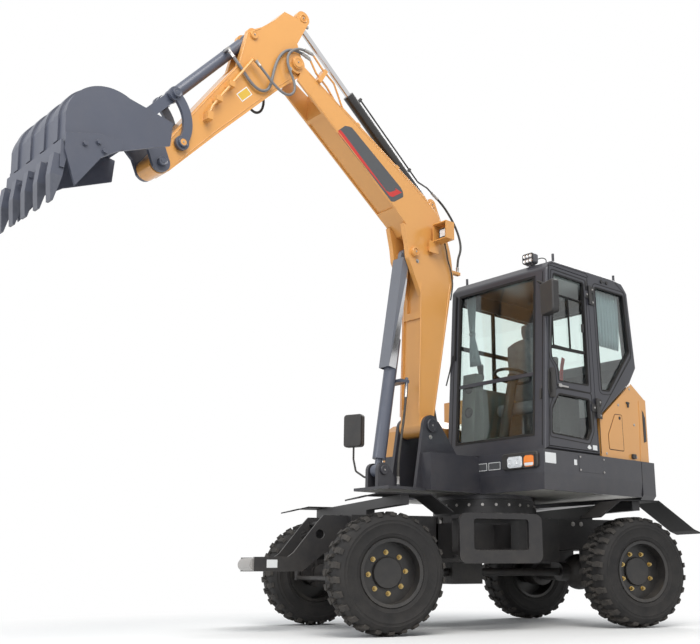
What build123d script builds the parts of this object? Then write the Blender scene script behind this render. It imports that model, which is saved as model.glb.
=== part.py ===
from build123d import *
import os
from math import atan2, cos, degrees, hypot, radians, sin, tan

# Wheeled excavator of the six tonne class, all sizes in millimetres
# Chassis frame: X forward, Y to the machine's left, Z up, X = 0 at the front axle
# Upper frame: the same directions turned with the upper structure, X = 0 at the slew axis

# Driving dimensions of the running gear
wheelbase = 2120.0
track = 1640.0
tyre_radius = 422.5
tyre_width = 312.0
lug_pitches = 26
lug_depth = 19.0
rim_seat_radius = 222.0
rim_flange_radius = 236.0
rim_half_width = 148.0
rim_wall = 12.0
hub_cap_radius = 109.0
hub_cap_out = 65.0
disc_out = 28.0
disc_thickness = 16.0
spindle_radius = 62.0
spindle_out = 10.0
kingpin_y = track / 2 - 180.0
kingpin_radius = 22.0
fit = 0.05
free_gap = 0.3

# Driving dimensions of the chassis, drawn with the axles at this height: larger tyres lift it all
axle_height = 422.5
frame_half = 300.0
frame_bottom = 600.0
frame_top = 850.0
frame_front = 60.0
frame_rear = -wheelbase - 210.0
belly_half = 330.0
belly_bottom = 500.0
belly_front = -380.0
belly_rear = -wheelbase + 360.0

# Slewing: axis place in the chassis frame and the angle the upper structure rests at
slew_x = -1240.0
slew_angle = 19.9
ring_bottom = 930.0
ring_top = 992.0
ring_outer = 420.0
ring_inner = 330.0
upper_base = 1030.0

# Upper structure
deck_top = 1335.0
deck_plate = 22.0
side_y = 930.0
skirt_front = 345.0
skirt_rear = -990.0
skirt_crease = 1160.0
skirt_wall = 25.0
tail_reach = 1640.0
tail_corner_x = -1190.0
tail_bottom = 995.0

# Cab
cab_left = 910.0
cab_right = -170.0
cab_wall = 45.0
glass_thickness = 6.0
door_thickness = 42.0

# Pins of the working arm, (x, z) in the upper frame
boom_foot = (785.0, 1550.0)
boom_cyl_foot = (1210.0, 1178.0)
boom_cyl_eye = (920.0, 2983.0)
arm_pin = (2168.0, 4210.0)
arm_cyl_foot = (670.0, 3480.0)
arm_cyl_eye = (2100.0, 4640.0)
bucket_cyl_foot = (2548.0, 4300.0)
link_pin = (3090.0, 3240.0)
bucket_pin = (3237.0, 3053.0)
tip_pin = (3160.0, 3580.0)
bucket_link_pin = (3365.0, 3345.0)

# Widths across the working arm, measured from its middle plane
boom_half = 110.0
boom_cheek_in = 66.0
arm_half = 85.0
fork_gap = 93.0
eye_half = 30.0
ear_in = 38.0
foot_plate_in = 128.0
foot_plate_out = 158.0
bucket_half = 400.0
bucket_wall = 14.0
link_in = 92.0
link_out = 118.0
link_width = 66.0
link_bow = (3062.0, 3428.0)

# Radii of the pins of the working arm
boom_pin_radius = 34.0
boom_cyl_pin = 27.0
arm_pin_radius = 34.0
arm_cyl_pin = 22.0
bucket_cyl_pin = 22.0
link_pin_radius = 24.0
bucket_pin_radius = 30.0
bucket_link_pin_radius = 26.0

# Hoses: their diameter and where they come out of the deck, (x, y) in the upper frame
hose_fitting_top = 1076.0
hose_fittings = ((1100.0, -100.0), (1080.0, 92.0), (640.0, -52.0), (640.0, 52.0))

# Where the part's own origin lies in the chassis frame
origin_x = -73.0
origin_y = 234.0


def box(x0, x1, y0, y1, z0, z1):
    """A block between two corners."""
    middle = Pos((x0 + x1) / 2, (y0 + y1) / 2, (z0 + z1) / 2)
    return middle * Box(x1 - x0, y1 - y0, z1 - z0)


def side_face(points, y):
    """A polygon of (x, z) points in the upright plane at y, facing -Y."""
    plane = Plane(origin=(0, y, 0), x_dir=(1, 0, 0), z_dir=(0, -1, 0))
    return plane * make_face(Polyline(*points, close=True))


def side_plate(points, y0, y1):
    """A polygon of (x, z) points, extruded from y0 to y1."""
    return extrude(side_face(points, y1), y1 - y0)


def side_shape(outline, y0, y1):
    """A sketch drawn in local (x, z), extruded from y0 to y1."""
    plane = Plane(origin=(0, y1, 0), x_dir=(1, 0, 0), z_dir=(0, -1, 0))
    return extrude(plane * outline, y1 - y0)


def plan_plate(points, z0, z1):
    """A polygon of (x, y) points, extruded from z0 to z1."""
    return extrude(Pos(0, 0, z0) * make_face(Polyline(*points, close=True)), z1 - z0)


def rounded(points, radius):
    """A polygon face of (x, z) points with every corner rounded."""
    face = make_face(Polyline(*points, close=True))
    return fillet(face.vertices(), radius)


def pin_y(place, radius, y0, y1):
    """A round bar along Y at (x, z)."""
    return Pos(place[0], (y0 + y1) / 2, place[1]) * Rot(90, 0, 0) * Cylinder(radius, y1 - y0)


def bar_x(x0, x1, y, z, radius):
    """A round bar along X."""
    return Pos((x0 + x1) / 2, y, z) * Rot(0, 90, 0) * Cylinder(radius, x1 - x0)


def post_z(x, y, z0, z1, radius):
    """A round bar along Z."""
    return Pos(x, y, (z0 + z1) / 2) * Cylinder(radius, z1 - z0)


def rod_between(a, b, y, radius):
    """A round bar in the plane at y between two (x, z) places."""
    length = hypot(b[0] - a[0], b[1] - a[1])
    lean = degrees(atan2(b[0] - a[0], b[1] - a[1]))
    return Pos((a[0] + b[0]) / 2, y, (a[1] + b[1]) / 2) * Rot(0, lean, 0) * Cylinder(radius, length)


def along(a, b, distance):
    """The (x, z) place at a distance from a towards b."""
    share = distance / hypot(b[0] - a[0], b[1] - a[1])
    return (a[0] + (b[0] - a[0]) * share, a[1] + (b[1] - a[1]) * share)


def apart(a, b):
    """The distance between two (x, z) places."""
    return hypot(b[0] - a[0], b[1] - a[1])


def tube_path(points, radii, radius):
    """A round tube along straight runs joined by arcs."""
    path = FilletPolyline(*points, radius=radii)
    start = Plane(origin=path @ 0, z_dir=path % 0)
    return sweep(start * Circle(radius), path=path)


def mirrored(shape):
    """The same shape on the other side of the middle plane."""
    return mirror(shape, about=Plane.XZ)


def place_chassis(shape):
    return Pos(-origin_x, -origin_y, tyre_radius - axle_height) * shape


def place_upper(shape):
    return place_chassis(Pos(slew_x, 0, 0) * Rot(0, 0, slew_angle) * shape)


def chassis_point(x, y, z):
    return (x - origin_x, y - origin_y, z + tyre_radius - axle_height)


def upper_point(x, y, z):
    c = cos(radians(slew_angle))
    s = sin(radians(slew_angle))
    return chassis_point(slew_x + c * x - s * y, s * x + c * y, z)


os.makedirs("parts", exist_ok=True)
node_names = []


def save(name, shape, upper=True):
    """Write one node at its resting place."""
    solids = shape.solids() if hasattr(shape, "solids") else shape
    placed = [place_upper(s) if upper else place_chassis(s) for s in solids]
    result = placed[0] if len(placed) == 1 else Compound(children=placed)
    result.label = name
    export_step(result, "parts/" + name + ".step")
    node_names.append(name)


def save_group(name, shapes, upper=True):
    """Write several separate solids as one node."""
    solids = []
    for shape in shapes:
        solids += list(shape.solids())
    placed = [place_upper(s) if upper else place_chassis(s) for s in solids]
    group = Compound(children=placed, label=name)
    export_step(group, "parts/" + name + ".step")
    node_names.append(name)


# Chassis frame

def chassis_frame():
    beam = box(frame_rear, frame_front, -frame_half, frame_half, frame_bottom, frame_top)
    belly = box(belly_rear, belly_front, -belly_half, belly_half, belly_bottom, frame_top)
    seat = post_z(slew_x, 0, frame_top, ring_bottom, ring_outer + 15)
    frame = beam + belly + seat
    frame -= post_z(slew_x, 0, frame_top - 200, ring_bottom + 1, ring_inner - 80)
    # Arms that carry the mudguards, one over each wheel
    for x in (guard_arm_front, guard_arm_rear):
        guard_bottom = guard_flat_z - guard_plate
        frame += box(x - 35, x + 35, -guard_outer + 30, guard_outer - 30, guard_bottom - 70, guard_bottom)
        frame += box(x - 35, x + 35, -frame_half + 20, frame_half - 20, frame_top, guard_bottom)
    # Brackets that carry the steps
    for x in (step_front - 90, step_rear + 90):
        for side in (-1, 1):
            y0 = side * belly_half
            y1 = side * step_inner
            frame += box(x - 12, x + 12, min(y0, y1), max(y0, y1), step_bottom + 40, frame_top - 60)
    return frame


guard_inner = track / 2 - 150.0
guard_outer = track / 2 + 150.0
guard_plate = 8.0
guard_flat_z = 968.0
guard_arm_front = -100.0
guard_arm_rear = -wheelbase + 20.0
step_front = -555.0
step_rear = -wheelbase + 870.0
step_inner = track / 2 - 180.0
step_outer = track / 2 + 80.0
step_top = 846.0
step_bottom = 485.0
step_plate = 28.0


def bent_plate(points, thickness, y0, y1):
    """A bent sheet whose upper side follows (x, z) points."""
    lower = [(x, z - thickness) for x, z in reversed(points)]
    return side_plate(list(points) + lower, y0, y1)


guard_profiles = (
    ((250, 930), (94, guard_flat_z), (-295, guard_flat_z), (-469, 848)),
    ((-wheelbase + 375, 836), (-wheelbase + 222, guard_flat_z - 26), (-wheelbase + 180, guard_flat_z),
     (-wheelbase - 185, guard_flat_z), (-wheelbase - 520, 748), (-wheelbase - 585, 724)),
)


def mudguards():
    guards = []
    for profile in guard_profiles:
        sheet = bent_plate(profile, guard_plate, guard_inner, guard_outer)
        guards += [sheet, mirrored(sheet)]
    return guards


def step_frame():
    """The left step: a framed outer plate with two treads behind it."""
    width = step_front - step_rear
    height = step_top - step_bottom
    centre = Pos((step_front + step_rear) / 2, (step_top + step_bottom) / 2)
    outline = centre * RectangleRounded(width, height, 60)
    outline -= centre * Pos(0, 27) * RectangleRounded(width - 230, height - 134, 25)
    plate = side_shape(outline, step_outer - step_plate, step_outer)
    inner_x0 = step_rear + 60
    inner_x1 = step_front - 60
    low = box(inner_x0, inner_x1, step_inner, step_outer - step_plate, step_bottom + 62, step_bottom + 90)
    top = box(inner_x0, inner_x1, step_inner, step_outer - step_plate, step_top - 32, step_top - 4)
    back = box(inner_x0, inner_x1, step_inner, step_inner + 12, step_bottom + 62, step_top - 4)
    window = box(inner_x0 + 70, inner_x1 - 70, step_inner - 5, step_inner + 20, step_bottom + 110, step_top - 60)
    return plate + low + top + back - window


def slew_ring():
    ring = post_z(slew_x, 0, ring_bottom, ring_top, ring_outer)
    return ring - post_z(slew_x, 0, ring_bottom - 1, ring_top + 1, ring_inner)


# Axles, knuckles and wheels

axle_tube_radius = 72.0
yoke_y = kingpin_y - 40.0
yoke_gap = 78.0
yoke_plate = 30.0
steer_arm = 190.0
knuckle_room = 12.0


def axle_body(x):
    """The housing that both axles share: two tubes and the round differential case."""
    tube = pin_y((x, axle_height), axle_tube_radius, -yoke_y + 45, yoke_y - 45)
    case = Pos(x, 60, axle_height) * Sphere(150)
    nose_dir = -1 if x > slew_x else 1
    nose_x0 = min(x, x + nose_dir * 210)
    nose = bar_x(nose_x0, nose_x0 + 210, 60, axle_height, 75)
    pads = box(x - 90, x + 90, -250, -150, axle_height, frame_bottom)
    pads += box(x - 90, x + 90, 210, 290, axle_height, frame_bottom)
    return tube + case + nose + pads


def front_axle():
    axle = axle_body(0)
    for side in (-1, 1):
        y0 = side * (yoke_y - 60)
        y1 = side * (kingpin_y + 45)
        axle += box(-50, 50, min(y0, side * yoke_y), max(y0, side * yoke_y), axle_height - 108, axle_height + 108)
        for sign in (-1, 1):
            z0 = axle_height + sign * yoke_gap
            z1 = z0 + sign * yoke_plate
            axle += box(-50, 50, min(y0, y1), max(y0, y1), min(z0, z1), max(z0, z1))
        axle -= post_z(0, side * kingpin_y, axle_height - 120, axle_height + 120, kingpin_radius + fit)
        y2 = side * (yoke_y - knuckle_room)
        y3 = side * (kingpin_y + 60)
        axle -= box(-60, 60, min(y2, y3), max(y2, y3), axle_height - yoke_gap, axle_height + yoke_gap)
    return axle


def rear_axle():
    axle = axle_body(-wheelbase)
    for side in (-1, 1):
        y0 = side * (yoke_y - 60)
        y1 = side * (track / 2 - 140)
        y2 = side * (track / 2 + spindle_out)
        axle += pin_y((-wheelbase, axle_height), 118, min(y0, y1), max(y0, y1))
        axle += pin_y((-wheelbase, axle_height), spindle_radius, min(y0, y2), max(y0, y2))
    return axle


def knuckle():
    """The left knuckle: kingpins, hub carrier, spindle and steering arm."""
    z = axle_height
    pins = post_z(0, kingpin_y, z - yoke_gap - yoke_plate, z + yoke_gap + yoke_plate, kingpin_radius)
    core = post_z(0, kingpin_y, z - yoke_gap + 1, z + yoke_gap - 1, 38)
    flange = pin_y((0, z), 112, kingpin_y + 20, track / 2 - 140)
    # The flange is flat above and below, so that it turns between the yoke's plates
    for sign in (-1, 1):
        z0 = z + sign * (yoke_gap - 6)
        z1 = z + sign * (yoke_gap + yoke_plate + 8)
        flange -= box(-120, 120, kingpin_y, track / 2, min(z0, z1), max(z0, z1))
    hub = pin_y((0, z), 62, kingpin_y, kingpin_y + 60)
    spindle = pin_y((0, z), spindle_radius, kingpin_y, track / 2 + spindle_out)
    arm = box(30, steer_arm, kingpin_y - knuckle_room, kingpin_y + 18, z - 18, z + 18)
    arm += post_z(steer_arm, kingpin_y - 10, z - 18, z + 18, 28)
    return pins + core + flange + hub + spindle + arm


def steering_rod():
    """The rod across the front of the axle, under the two steering arms."""
    z1 = axle_height - 18 - free_gap
    y = kingpin_y - 10
    rod = pin_y((steer_arm, z1 - 20), 17, -y, y)
    for side in (-1, 1):
        rod += post_z(steer_arm, side * y, z1 - 38, z1, 26)
    return rod


def wheel_rim():
    """One rim about the Y axis at the origin: barrel, disc and hub, outside towards +Y."""
    r = rim_seat_radius
    w = rim_half_width
    barrel = [(r - rim_wall, -w + 6), (rim_flange_radius - 4, -w), (rim_flange_radius, -w + 8), (r, -w + 18)]
    barrel += [(r, w - 18), (rim_flange_radius, w - 8), (rim_flange_radius - 4, w), (r - rim_wall, w - 6)]
    profile = make_face(Polyline(*barrel, close=True))
    disc = [(0, disc_out), (r - rim_wall, disc_out), (r - rim_wall, disc_out + disc_thickness)]
    disc += [(hub_cap_radius, disc_out + disc_thickness), (hub_cap_radius, hub_cap_out - 6)]
    disc += [(hub_cap_radius - 6, hub_cap_out), (0, hub_cap_out)]
    profile += make_face(Polyline(*disc, close=True))
    hub = [(spindle_radius + fit, -70), (100, -70), (100, disc_out), (spindle_radius + fit, disc_out)]
    profile += make_face(Polyline(*hub, close=True))
    turned = revolve(profile, Axis.Y)
    return turned


def ring_spot(radius, y, number, count):
    """A corner of a many-sided ring about the Y axis, half a side away from the top."""
    angle = radians((number + 0.5) * 360 / count)
    return (radius * sin(angle), y, radius * cos(angle))


def tyre_carcass():
    """The tyre under its lugs: a ring of flat panels, one for each pitch of the tread."""
    w = tyre_width / 2
    seat = (rim_seat_radius + fit) / cos(radians(180 / lug_pitches))
    floor = tyre_radius - lug_depth
    half = [(seat, rim_half_width - 18), (rim_flange_radius + 3, rim_half_width - 14), (318, w), (floor - 6, w - 18)]
    section = half + [(r, -y) for r, y in reversed(half)]
    panels = []
    for (r0, y0), (r1, y1) in zip(section, section[1:] + section[:1]):
        for i in range(lug_pitches):
            corners = [ring_spot(r0, y0, i, lug_pitches), ring_spot(r0, y0, i + 1, lug_pitches),
                       ring_spot(r1, y1, i + 1, lug_pitches), ring_spot(r1, y1, i, lug_pitches)]
            panels.append(Face(Wire.make_polygon([Vector(*c) for c in corners])))
    return Solid(Shell(panels))


def tyre_lug():
    """One lug of the left row at the top of the tyre: a slanted bar that slopes off at the shoulder."""
    w = tyre_width / 2
    foot = rim_flange_radius + 130
    # Corners along and across the tread, from the shoulder to past the middle
    outline = [(-22, w - 1), (20, w - 1), (14, w / 2 - 18), (-10, -28), (-36, -28), (-27, w / 2 - 18)]
    bar = plan_plate(outline, foot, tyre_radius)
    crown = (tyre_radius ** 2 - 36 ** 2) ** 0.5
    section = [(-30, foot - 1), (-30, crown), (w / 2 - 18, crown), (w + 5, crown - 20), (w + 5, crown - 50), (w - 22, foot - 1)]
    plane = Plane(origin=(-60, 0, 0), x_dir=(0, 1, 0), z_dir=(1, 0, 0))
    return bar & extrude(plane * make_face(Polyline(*section, close=True)), 120)


def tyre():
    """One tyre about the Y axis at the origin: the carcass with two rows of lugs, half a pitch apart."""
    left = tyre_lug()
    right = mirrored(left)
    body = tyre_carcass()
    lugs = []
    for i in range(lug_pitches):
        lugs.append(Rot(0, i * 360 / lug_pitches, 0) * left)
        lugs.append(Rot(0, (i + 0.5) * 360 / lug_pitches, 0) * right)
    return body.fuse(*[solid for lug in lugs for solid in lug.solids()])


wheel_places = (
    ("fl", 0.0, 1),
    ("fr", 0.0, -1),
    ("rl", -wheelbase, 1),
    ("rr", -wheelbase, -1),
)


# Hoses as routes of (x, y, z) points in the upper frame

hose_routes = (
    # name, diameter, points from one end to the other
    ("arm_hose_a", 22.0, ((2738, 80, 4085), (2668, 104, 3998), (2570, 106, 3895), (2490, 107, 3858),
                          (2425, 107, 3880), (2392, 107, 3945), (2378, 107, 4030), (2360, 107, 4115),
                          (2328, 107, 4206), (2264, 107, 4288), (2162, 106, 4328), (2072, 106, 4306))),
    ("arm_hose_b", 20.0, ((2548, 134, 4065), (2470, 138, 4003), (2395, 141, 3938), (2310, 142, 3893),
                          (2240, 142, 3898), (2196, 141, 3955), (2205, 140, 4030), (2245, 140, 4095),
                          (2275, 139, 4165), (2268, 138, 4240), (2215, 137, 4300), (2140, 135, 4336),
                          (2066, 132, 4334))),
    ("arm_hose_c", 20.0, ((2548, -120, 4050), (2508, -124, 3972), (2465, -126, 3895), (2420, -126, 3832),
                          (2365, -126, 3808), (2315, -126, 3838), (2292, -126, 3905), (2300, -126, 3985),
                          (2318, -125, 4066), (2316, -124, 4155), (2278, -122, 4238), (2205, -120, 4295),
                          (2120, -119, 4300))),
    ("arm_cylinder_hose", 20.0, ((575, 0, 3612), (476, 0, 3559.2), (404, 12, 3478), (350, 34, 3378),
                                 (320, 58, 3265), (322, 78, 3150), (384, 88, 3036), (384, 88, 2926))),
    ("boom_cylinder_hose_l", 20.0, ((985, 80, 1815), (1004, 92, 1705), (1028, 99, 1580), (1052, 101, 1455),
                                    (1071, 99, 1330), (1080, 92, 1205), (1080, 92, 1076))),
    ("boom_cylinder_hose_r", 20.0, ((1036, -78, 1800), (1056, -92, 1690), (1086, -103, 1570),
                                    (1110, -107, 1445), (1117, -106, 1320), (1100, -100, 1197),
                                    (1100, -100, 1076))),
    ("foot_hose_l", 20.0, ((628, 40, 1965), (649, 40, 1856.7), (645, 42, 1745), (618, 44, 1630), (596, 47, 1510),
                           (602, 50, 1385), (640, 52, 1240), (640, 52, 1076))),
    ("foot_hose_r", 20.0, ((628, -40, 1965), (649, -40, 1856.7), (641, -42, 1740), (610, -44, 1622),
                           (586, -47, 1500), (596, -50, 1370), (640, -52, 1225), (640, -52, 1076))),
)


def hose(name, diameter, points):
    """A hose along its route, each arc as large as its two runs allow."""
    radii = []
    spots = [Vector(*p) for p in points]
    for a, b, c in zip(spots, spots[1:], spots[2:]):
        turn = radians((b - a).get_angle(c - b))
        shorter = min((b - a).length, (c - b).length)
        radii.append(0.45 * shorter / tan(turn / 2))
    print("hose", name, "diameter", diameter, "radii", [round(r) for r in radii])
    return tube_path(points, radii, diameter / 2)


def drive_line():
    gearbox = box(slew_x + 110, slew_x + 380, -120, 150, axle_height - 92, belly_bottom)
    shafts = bar_x(slew_x + 380, -212, 60, axle_height, 32)
    shafts += bar_x(-wheelbase + 212, slew_x + 110, 60, axle_height, 32)
    return gearbox + shafts


# Front bracket of the chassis

bracket_y = 178.0
bracket_plate = 25.0
roller_place = (756.0, 488.0)
roller_radius = 47.0


def front_bracket():
    points = [(frame_front, frame_top), (250, frame_top), (300, 795), (478, 572), (520, 542)]
    points += [(775, 540), (775, 437), (410, 435), (250, 560), (frame_front, 640)]
    plate = side_plate(points, bracket_y, bracket_y + bracket_plate)
    plate -= pin_y((275, 708), 35, bracket_y - 1, bracket_y + bracket_plate + 1)
    web = box(frame_front, frame_front + 180, -bracket_y, bracket_y, frame_top - 60, frame_top - 40)
    web += box(430, 640, -bracket_y, bracket_y, 450, 470)
    roller = pin_y(roller_place, roller_radius, -bracket_y, bracket_y)
    return plate + mirrored(plate) + web + roller


# Upper structure

nose_front = 1275.0
nose_half = 200.0
ear_plate = 30.0
boom_ear_in = 42.0


def ear(place, radius, base, y0, y1):
    """A lug plate: a round eye carried by base points below it."""
    plate = side_plate(base, y0, y1)
    return plate + pin_y(place, radius, y0, y1)


def upper_frame():
    z0 = upper_base
    x0 = skirt_rear - 4
    x1 = skirt_front - 40
    y1 = side_y - 40
    deck = plan_plate([(x0, -y1), (x1, -y1), (x1, -nose_half), (nose_front, -nose_half),
                       (nose_front, nose_half), (x1, nose_half), (x1, y1), (x0, y1)],
                      z0, z0 + deck_plate)
    flange = post_z(0, 0, ring_top + 4, z0, ring_outer - 15)
    journal = post_z(0, 0, ring_bottom + 4, ring_top + 4, ring_inner - free_gap)
    frame = deck + flange + journal
    # Box girders that carry the deck, the cab and the boom
    frame += box(x0, 400, -foot_plate_out, -foot_plate_in, z0, deck_top - deck_plate)
    frame += box(x0, 400, foot_plate_in, foot_plate_out, z0, deck_top - deck_plate)
    frame += box(x0, x1, -y1, y1, deck_top - deck_plate, deck_top)
    for y in (-y1, y1 - 30):
        frame += box(x0, x1, y, y + 30, z0, deck_top - deck_plate)
    # Foot plates of the boom
    foot = [(380, z0 + 4), (960, z0 + 4), (868, 1570), (700, 1590), (500, 1345), (380, 1330)]
    for side in (-1, 1):
        y0 = min(side * foot_plate_in, side * foot_plate_out)
        y1 = max(side * foot_plate_in, side * foot_plate_out)
        frame += side_plate(foot, y0, y1)
        frame += pin_y(boom_foot, 84, y0, y1)
    # Boxes that stiffen the foot plates
    for side in (-1, 1):
        y0 = min(side * foot_plate_out, side * (foot_plate_out + 105))
        y1 = max(side * foot_plate_out, side * (foot_plate_out + 105))
        frame += box(x1, 895, y0, y1, z0 + 4, 1325)
    # Ears of the boom cylinder
    base = [(1020, z0 + 4), (1270, z0 + 4), (1268, 1185), (1160, 1215)]
    for side in (-1, 1):
        y0 = min(side * boom_ear_in, side * (boom_ear_in + ear_plate))
        y1 = max(side * boom_ear_in, side * (boom_ear_in + ear_plate))
        frame += ear(boom_cyl_foot, 58, base, y0, y1)
    # Pins that carry the boom and its cylinder
    frame += pin_y(boom_foot, boom_pin_radius, -foot_plate_out - 20, foot_plate_out + 20)
    frame += pin_y(boom_cyl_foot, boom_cyl_pin, -boom_ear_in - ear_plate - 14, boom_ear_in + ear_plate + 14)
    # Bulkhead fittings that the hoses come out of
    for x, y in hose_fittings:
        frame += post_z(x, y, z0 + deck_plate, hose_fitting_top, 17)
    return frame


def skirt():
    """The left skirt: an upright upper band and a lower band that leans in."""
    corner = [(skirt_rear, side_y), (skirt_front, side_y), (skirt_front, foot_plate_out + 105)]
    outline = corner + [(skirt_front - 40, foot_plate_out + 105), (skirt_front - 40, side_y - 40),
                        (skirt_rear, side_y - 40)]
    face = make_face(Polyline(*outline, close=True))
    upper_band = extrude(Pos(0, 0, skirt_crease) * face, deck_top - skirt_crease)
    lean = 14
    low = [(skirt_rear, side_y - lean), (skirt_front - lean, side_y - lean), (skirt_front - lean, foot_plate_out + 105)]
    low += [(skirt_front - 40, foot_plate_out + 105), (skirt_front - 40, side_y - 40), (skirt_rear, side_y - 40)]
    low_face = make_face(Polyline(*low, close=True))
    lower_band = loft([Pos(0, 0, upper_base) * low_face, Pos(0, 0, skirt_crease) * face])
    return upper_band + lower_band


def tail_face(inset):
    """The rounded outline of the tail in plan."""
    y = side_y - inset
    x = skirt_rear - 4
    line = Polyline((tail_corner_x, -y), (x, -y), (x, y), (tail_corner_x, y))
    arc = ThreePointArc((tail_corner_x, y), (-tail_reach + inset, 0), (tail_corner_x, -y))
    return make_face([line, arc])


def counterweight():
    body = extrude(Pos(0, 0, tail_bottom + 55) * tail_face(0), deck_top - tail_bottom - 55)
    foot = loft([Pos(0, 0, tail_bottom) * tail_face(45), Pos(0, 0, tail_bottom + 55) * tail_face(0)])
    return body + foot


hood_top = 2010.0
hood_front = -450.0
hood_side = 905.0
hood_wall = 30.0

cab_profile = [(280, 1345), (192, 2830), (120, 2905), (-748, 2925), (-880, 2915), (-962, 2837),
               (-1032, 2159), (-925, 2012), (-412, 1640), (-436, 1345)]


def grown(points, gap):
    """The outline of (x, z) points moved outwards."""
    return offset(make_face(Polyline(*points, close=True)), gap, kind=Kind.INTERSECTION)


def hood_outline(inset, z_top):
    y = hood_side - inset
    x = hood_front - inset
    corner = tail_corner_x + 40
    line = Polyline((corner, -y), (x, -y), (x, y), (corner, y))
    arc = ThreePointArc((corner, y), (-tail_reach + 70 + inset, 0), (corner, -y))
    return extrude(Pos(0, 0, deck_top) * make_face([line, arc]), z_top - deck_top)


def engine_hood():
    side = [(-100, deck_top), (-100, hood_top), (-930, hood_top), (-1130, 1890), (-1700, 1790), (-1700, deck_top)]
    body = hood_outline(0, hood_top) & side_plate(side, -1000, 1000)
    hollow = [(-100, deck_top - 5), (-100, hood_top - hood_wall), (-925, hood_top - hood_wall),
              (-1120, 1890 - hood_wall), (-1700, 1790 - hood_wall), (-1700, deck_top - 5)]
    inner = hood_outline(hood_wall, hood_top) & side_plate(hollow, -1000, 1000)
    inner += Pos(0, 0, -2) * inner
    cab_room = side_shape(grown(cab_profile, 12), cab_right - 12, cab_left + 60)
    return body - inner - cab_room


def side_hood():
    """The housing on the right of the boom."""
    outline = [(hood_front + 5, -hood_side), (skirt_front, -hood_side), (skirt_front, cab_right - 90),
               (hood_front + 5, cab_right - 90)]
    body = plan_plate(outline, deck_top, 1700)
    edges = body.edges().filter_by(Axis.X).sort_by(Axis.Z)[-2:]
    body = chamfer(edges, 70)
    front = body.edges().filter_by(Axis.Y).group_by(Axis.Z)[-1].sort_by(Axis.X)[-1:]
    body = chamfer(front, 60)
    inner = box(hood_front, skirt_front - 40, -hood_side + 40, cab_right - 130, deck_top - 1, 1600)
    return body - inner


def engine_block():
    return box(-tail_reach + 310, -720, -480, 420, deck_top, 1640)


# Cab

quarter_window = [(-455, 2800), (-890, 2808), (-940, 2288), (-600, 1894), (-480, 1888)]
door_outline = [(243, 1372), (162, 2850), (-352, 2850), (-399, 1372)]
door_hinge_heights = (2700.0, 1730.0)
hinge_out = 13.0
hinge_radius = 13.0
hinge_pin_radius = 6.0
door_upper_window = [(184, 2133), (118, 2800), (-300, 2800), (-310, 1905), (98, 1892), (110, 2008), (178, 2074)]
door_lower_window = [(212, 1464), (200, 1668), (101, 1800), (-308, 1800), (-327, 1540), (-268, 1450)]
right_window = [(170, 1500), (110, 2740), (-860, 2740), (-900, 2250), (-640, 1910), (-420, 1700), (-400, 1500)]
screen_y0 = cab_right + 105
screen_y1 = cab_left - 120
cab_corner = 50.0
cab_edge = 24.0
roof_posts = ((40.0, 858.0), (-830.0, 858.0), (40.0, -118.0), (-830.0, -118.0))


def cab_solid():
    """The cab's outer form: rounded along the roof and round both sides."""
    face = make_face(Polyline(*cab_profile, close=True))
    roof_corners = face.vertices().sort_by(Axis.Y)[-5:]
    face = fillet(roof_corners, cab_corner)
    body = side_shape(face, cab_right, cab_left)
    rims = [e for e in body.edges() if abs(e.center().Y - cab_left) < 1 or abs(e.center().Y - cab_right) < 1]
    return fillet(rims, cab_edge)


def cab_frame():
    y0 = cab_right
    y1 = cab_left
    w = cab_wall
    shell = cab_solid()
    room = side_shape(grown(cab_profile, -w), y0 + w, y1 - w)
    shell -= room
    shell -= side_shape(rounded(quarter_window, 25), y1 - w - 5, y1 + 5)
    shell -= side_shape(rounded(right_window, 25), y0 - 5, y0 + w + 5)
    door_gap = grown(door_outline, 6)
    shell -= side_shape(door_gap, y1 - w - 5, y1 + 5)
    shell -= box(0, 400, screen_y0, screen_y1, 1455, 2780)
    shell -= box(-1200, -800, y0 + 110, y1 - 110, 2250, 2760)
    # Rubber feet on the deck
    for x in (-340, 210):
        for y in (y0 + 90, y1 - 90):
            shell += post_z(x, y, deck_top, cab_profile[0][1], 45)
    # Lifting posts at the corners of the roof
    for x, y in roof_posts:
        shell += post_z(x, y, 2895, 2988, 11)
    # The cab's halves of the door hinges, with the pins
    for z in door_hinge_heights:
        for z0, z1 in ((z - 82, z - 31), (z + 31, z + 82)):
            shell += hinge_bar(z0, z1, hinge_radius)
            shell += hinge_leaf(z0, z1, -1)
        shell += hinge_bar(z - 82, z + 82, hinge_pin_radius)
    return shell


def hinge_bar(z0, z1, radius):
    """A round bar on the door's hinge line, which leans with the door's rear edge."""
    x0 = hinge_x(z0)
    x1 = hinge_x(z1)
    bar = rod_between((x0, z0), (x1, z1), cab_left + hinge_out, radius)
    return bar


def hinge_leaf(z0, z1, side):
    """A flat leaf from the hinge line along the outer face, towards -X or +X."""
    points = [(hinge_x(z0), z0), (hinge_x(z0) + side * 70, z0), (hinge_x(z1) + side * 70, z1), (hinge_x(z1), z1)]
    return side_plate(points, cab_left, cab_left + 8)


def hinge_x(z):
    """The x of the hinge line at a height: just behind the door's rear edge."""
    (xa, za), (xb, zb) = door_outline[3], door_outline[2]
    return xa + (xb - xa) * (z - za) / (zb - za) - 10


def screen_plane(z):
    """The x of the cab's front face at a height."""
    (xa, za), (xb, zb) = cab_profile[0], cab_profile[1]
    return xa + (xb - xa) * (z - za) / (zb - za)


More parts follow.
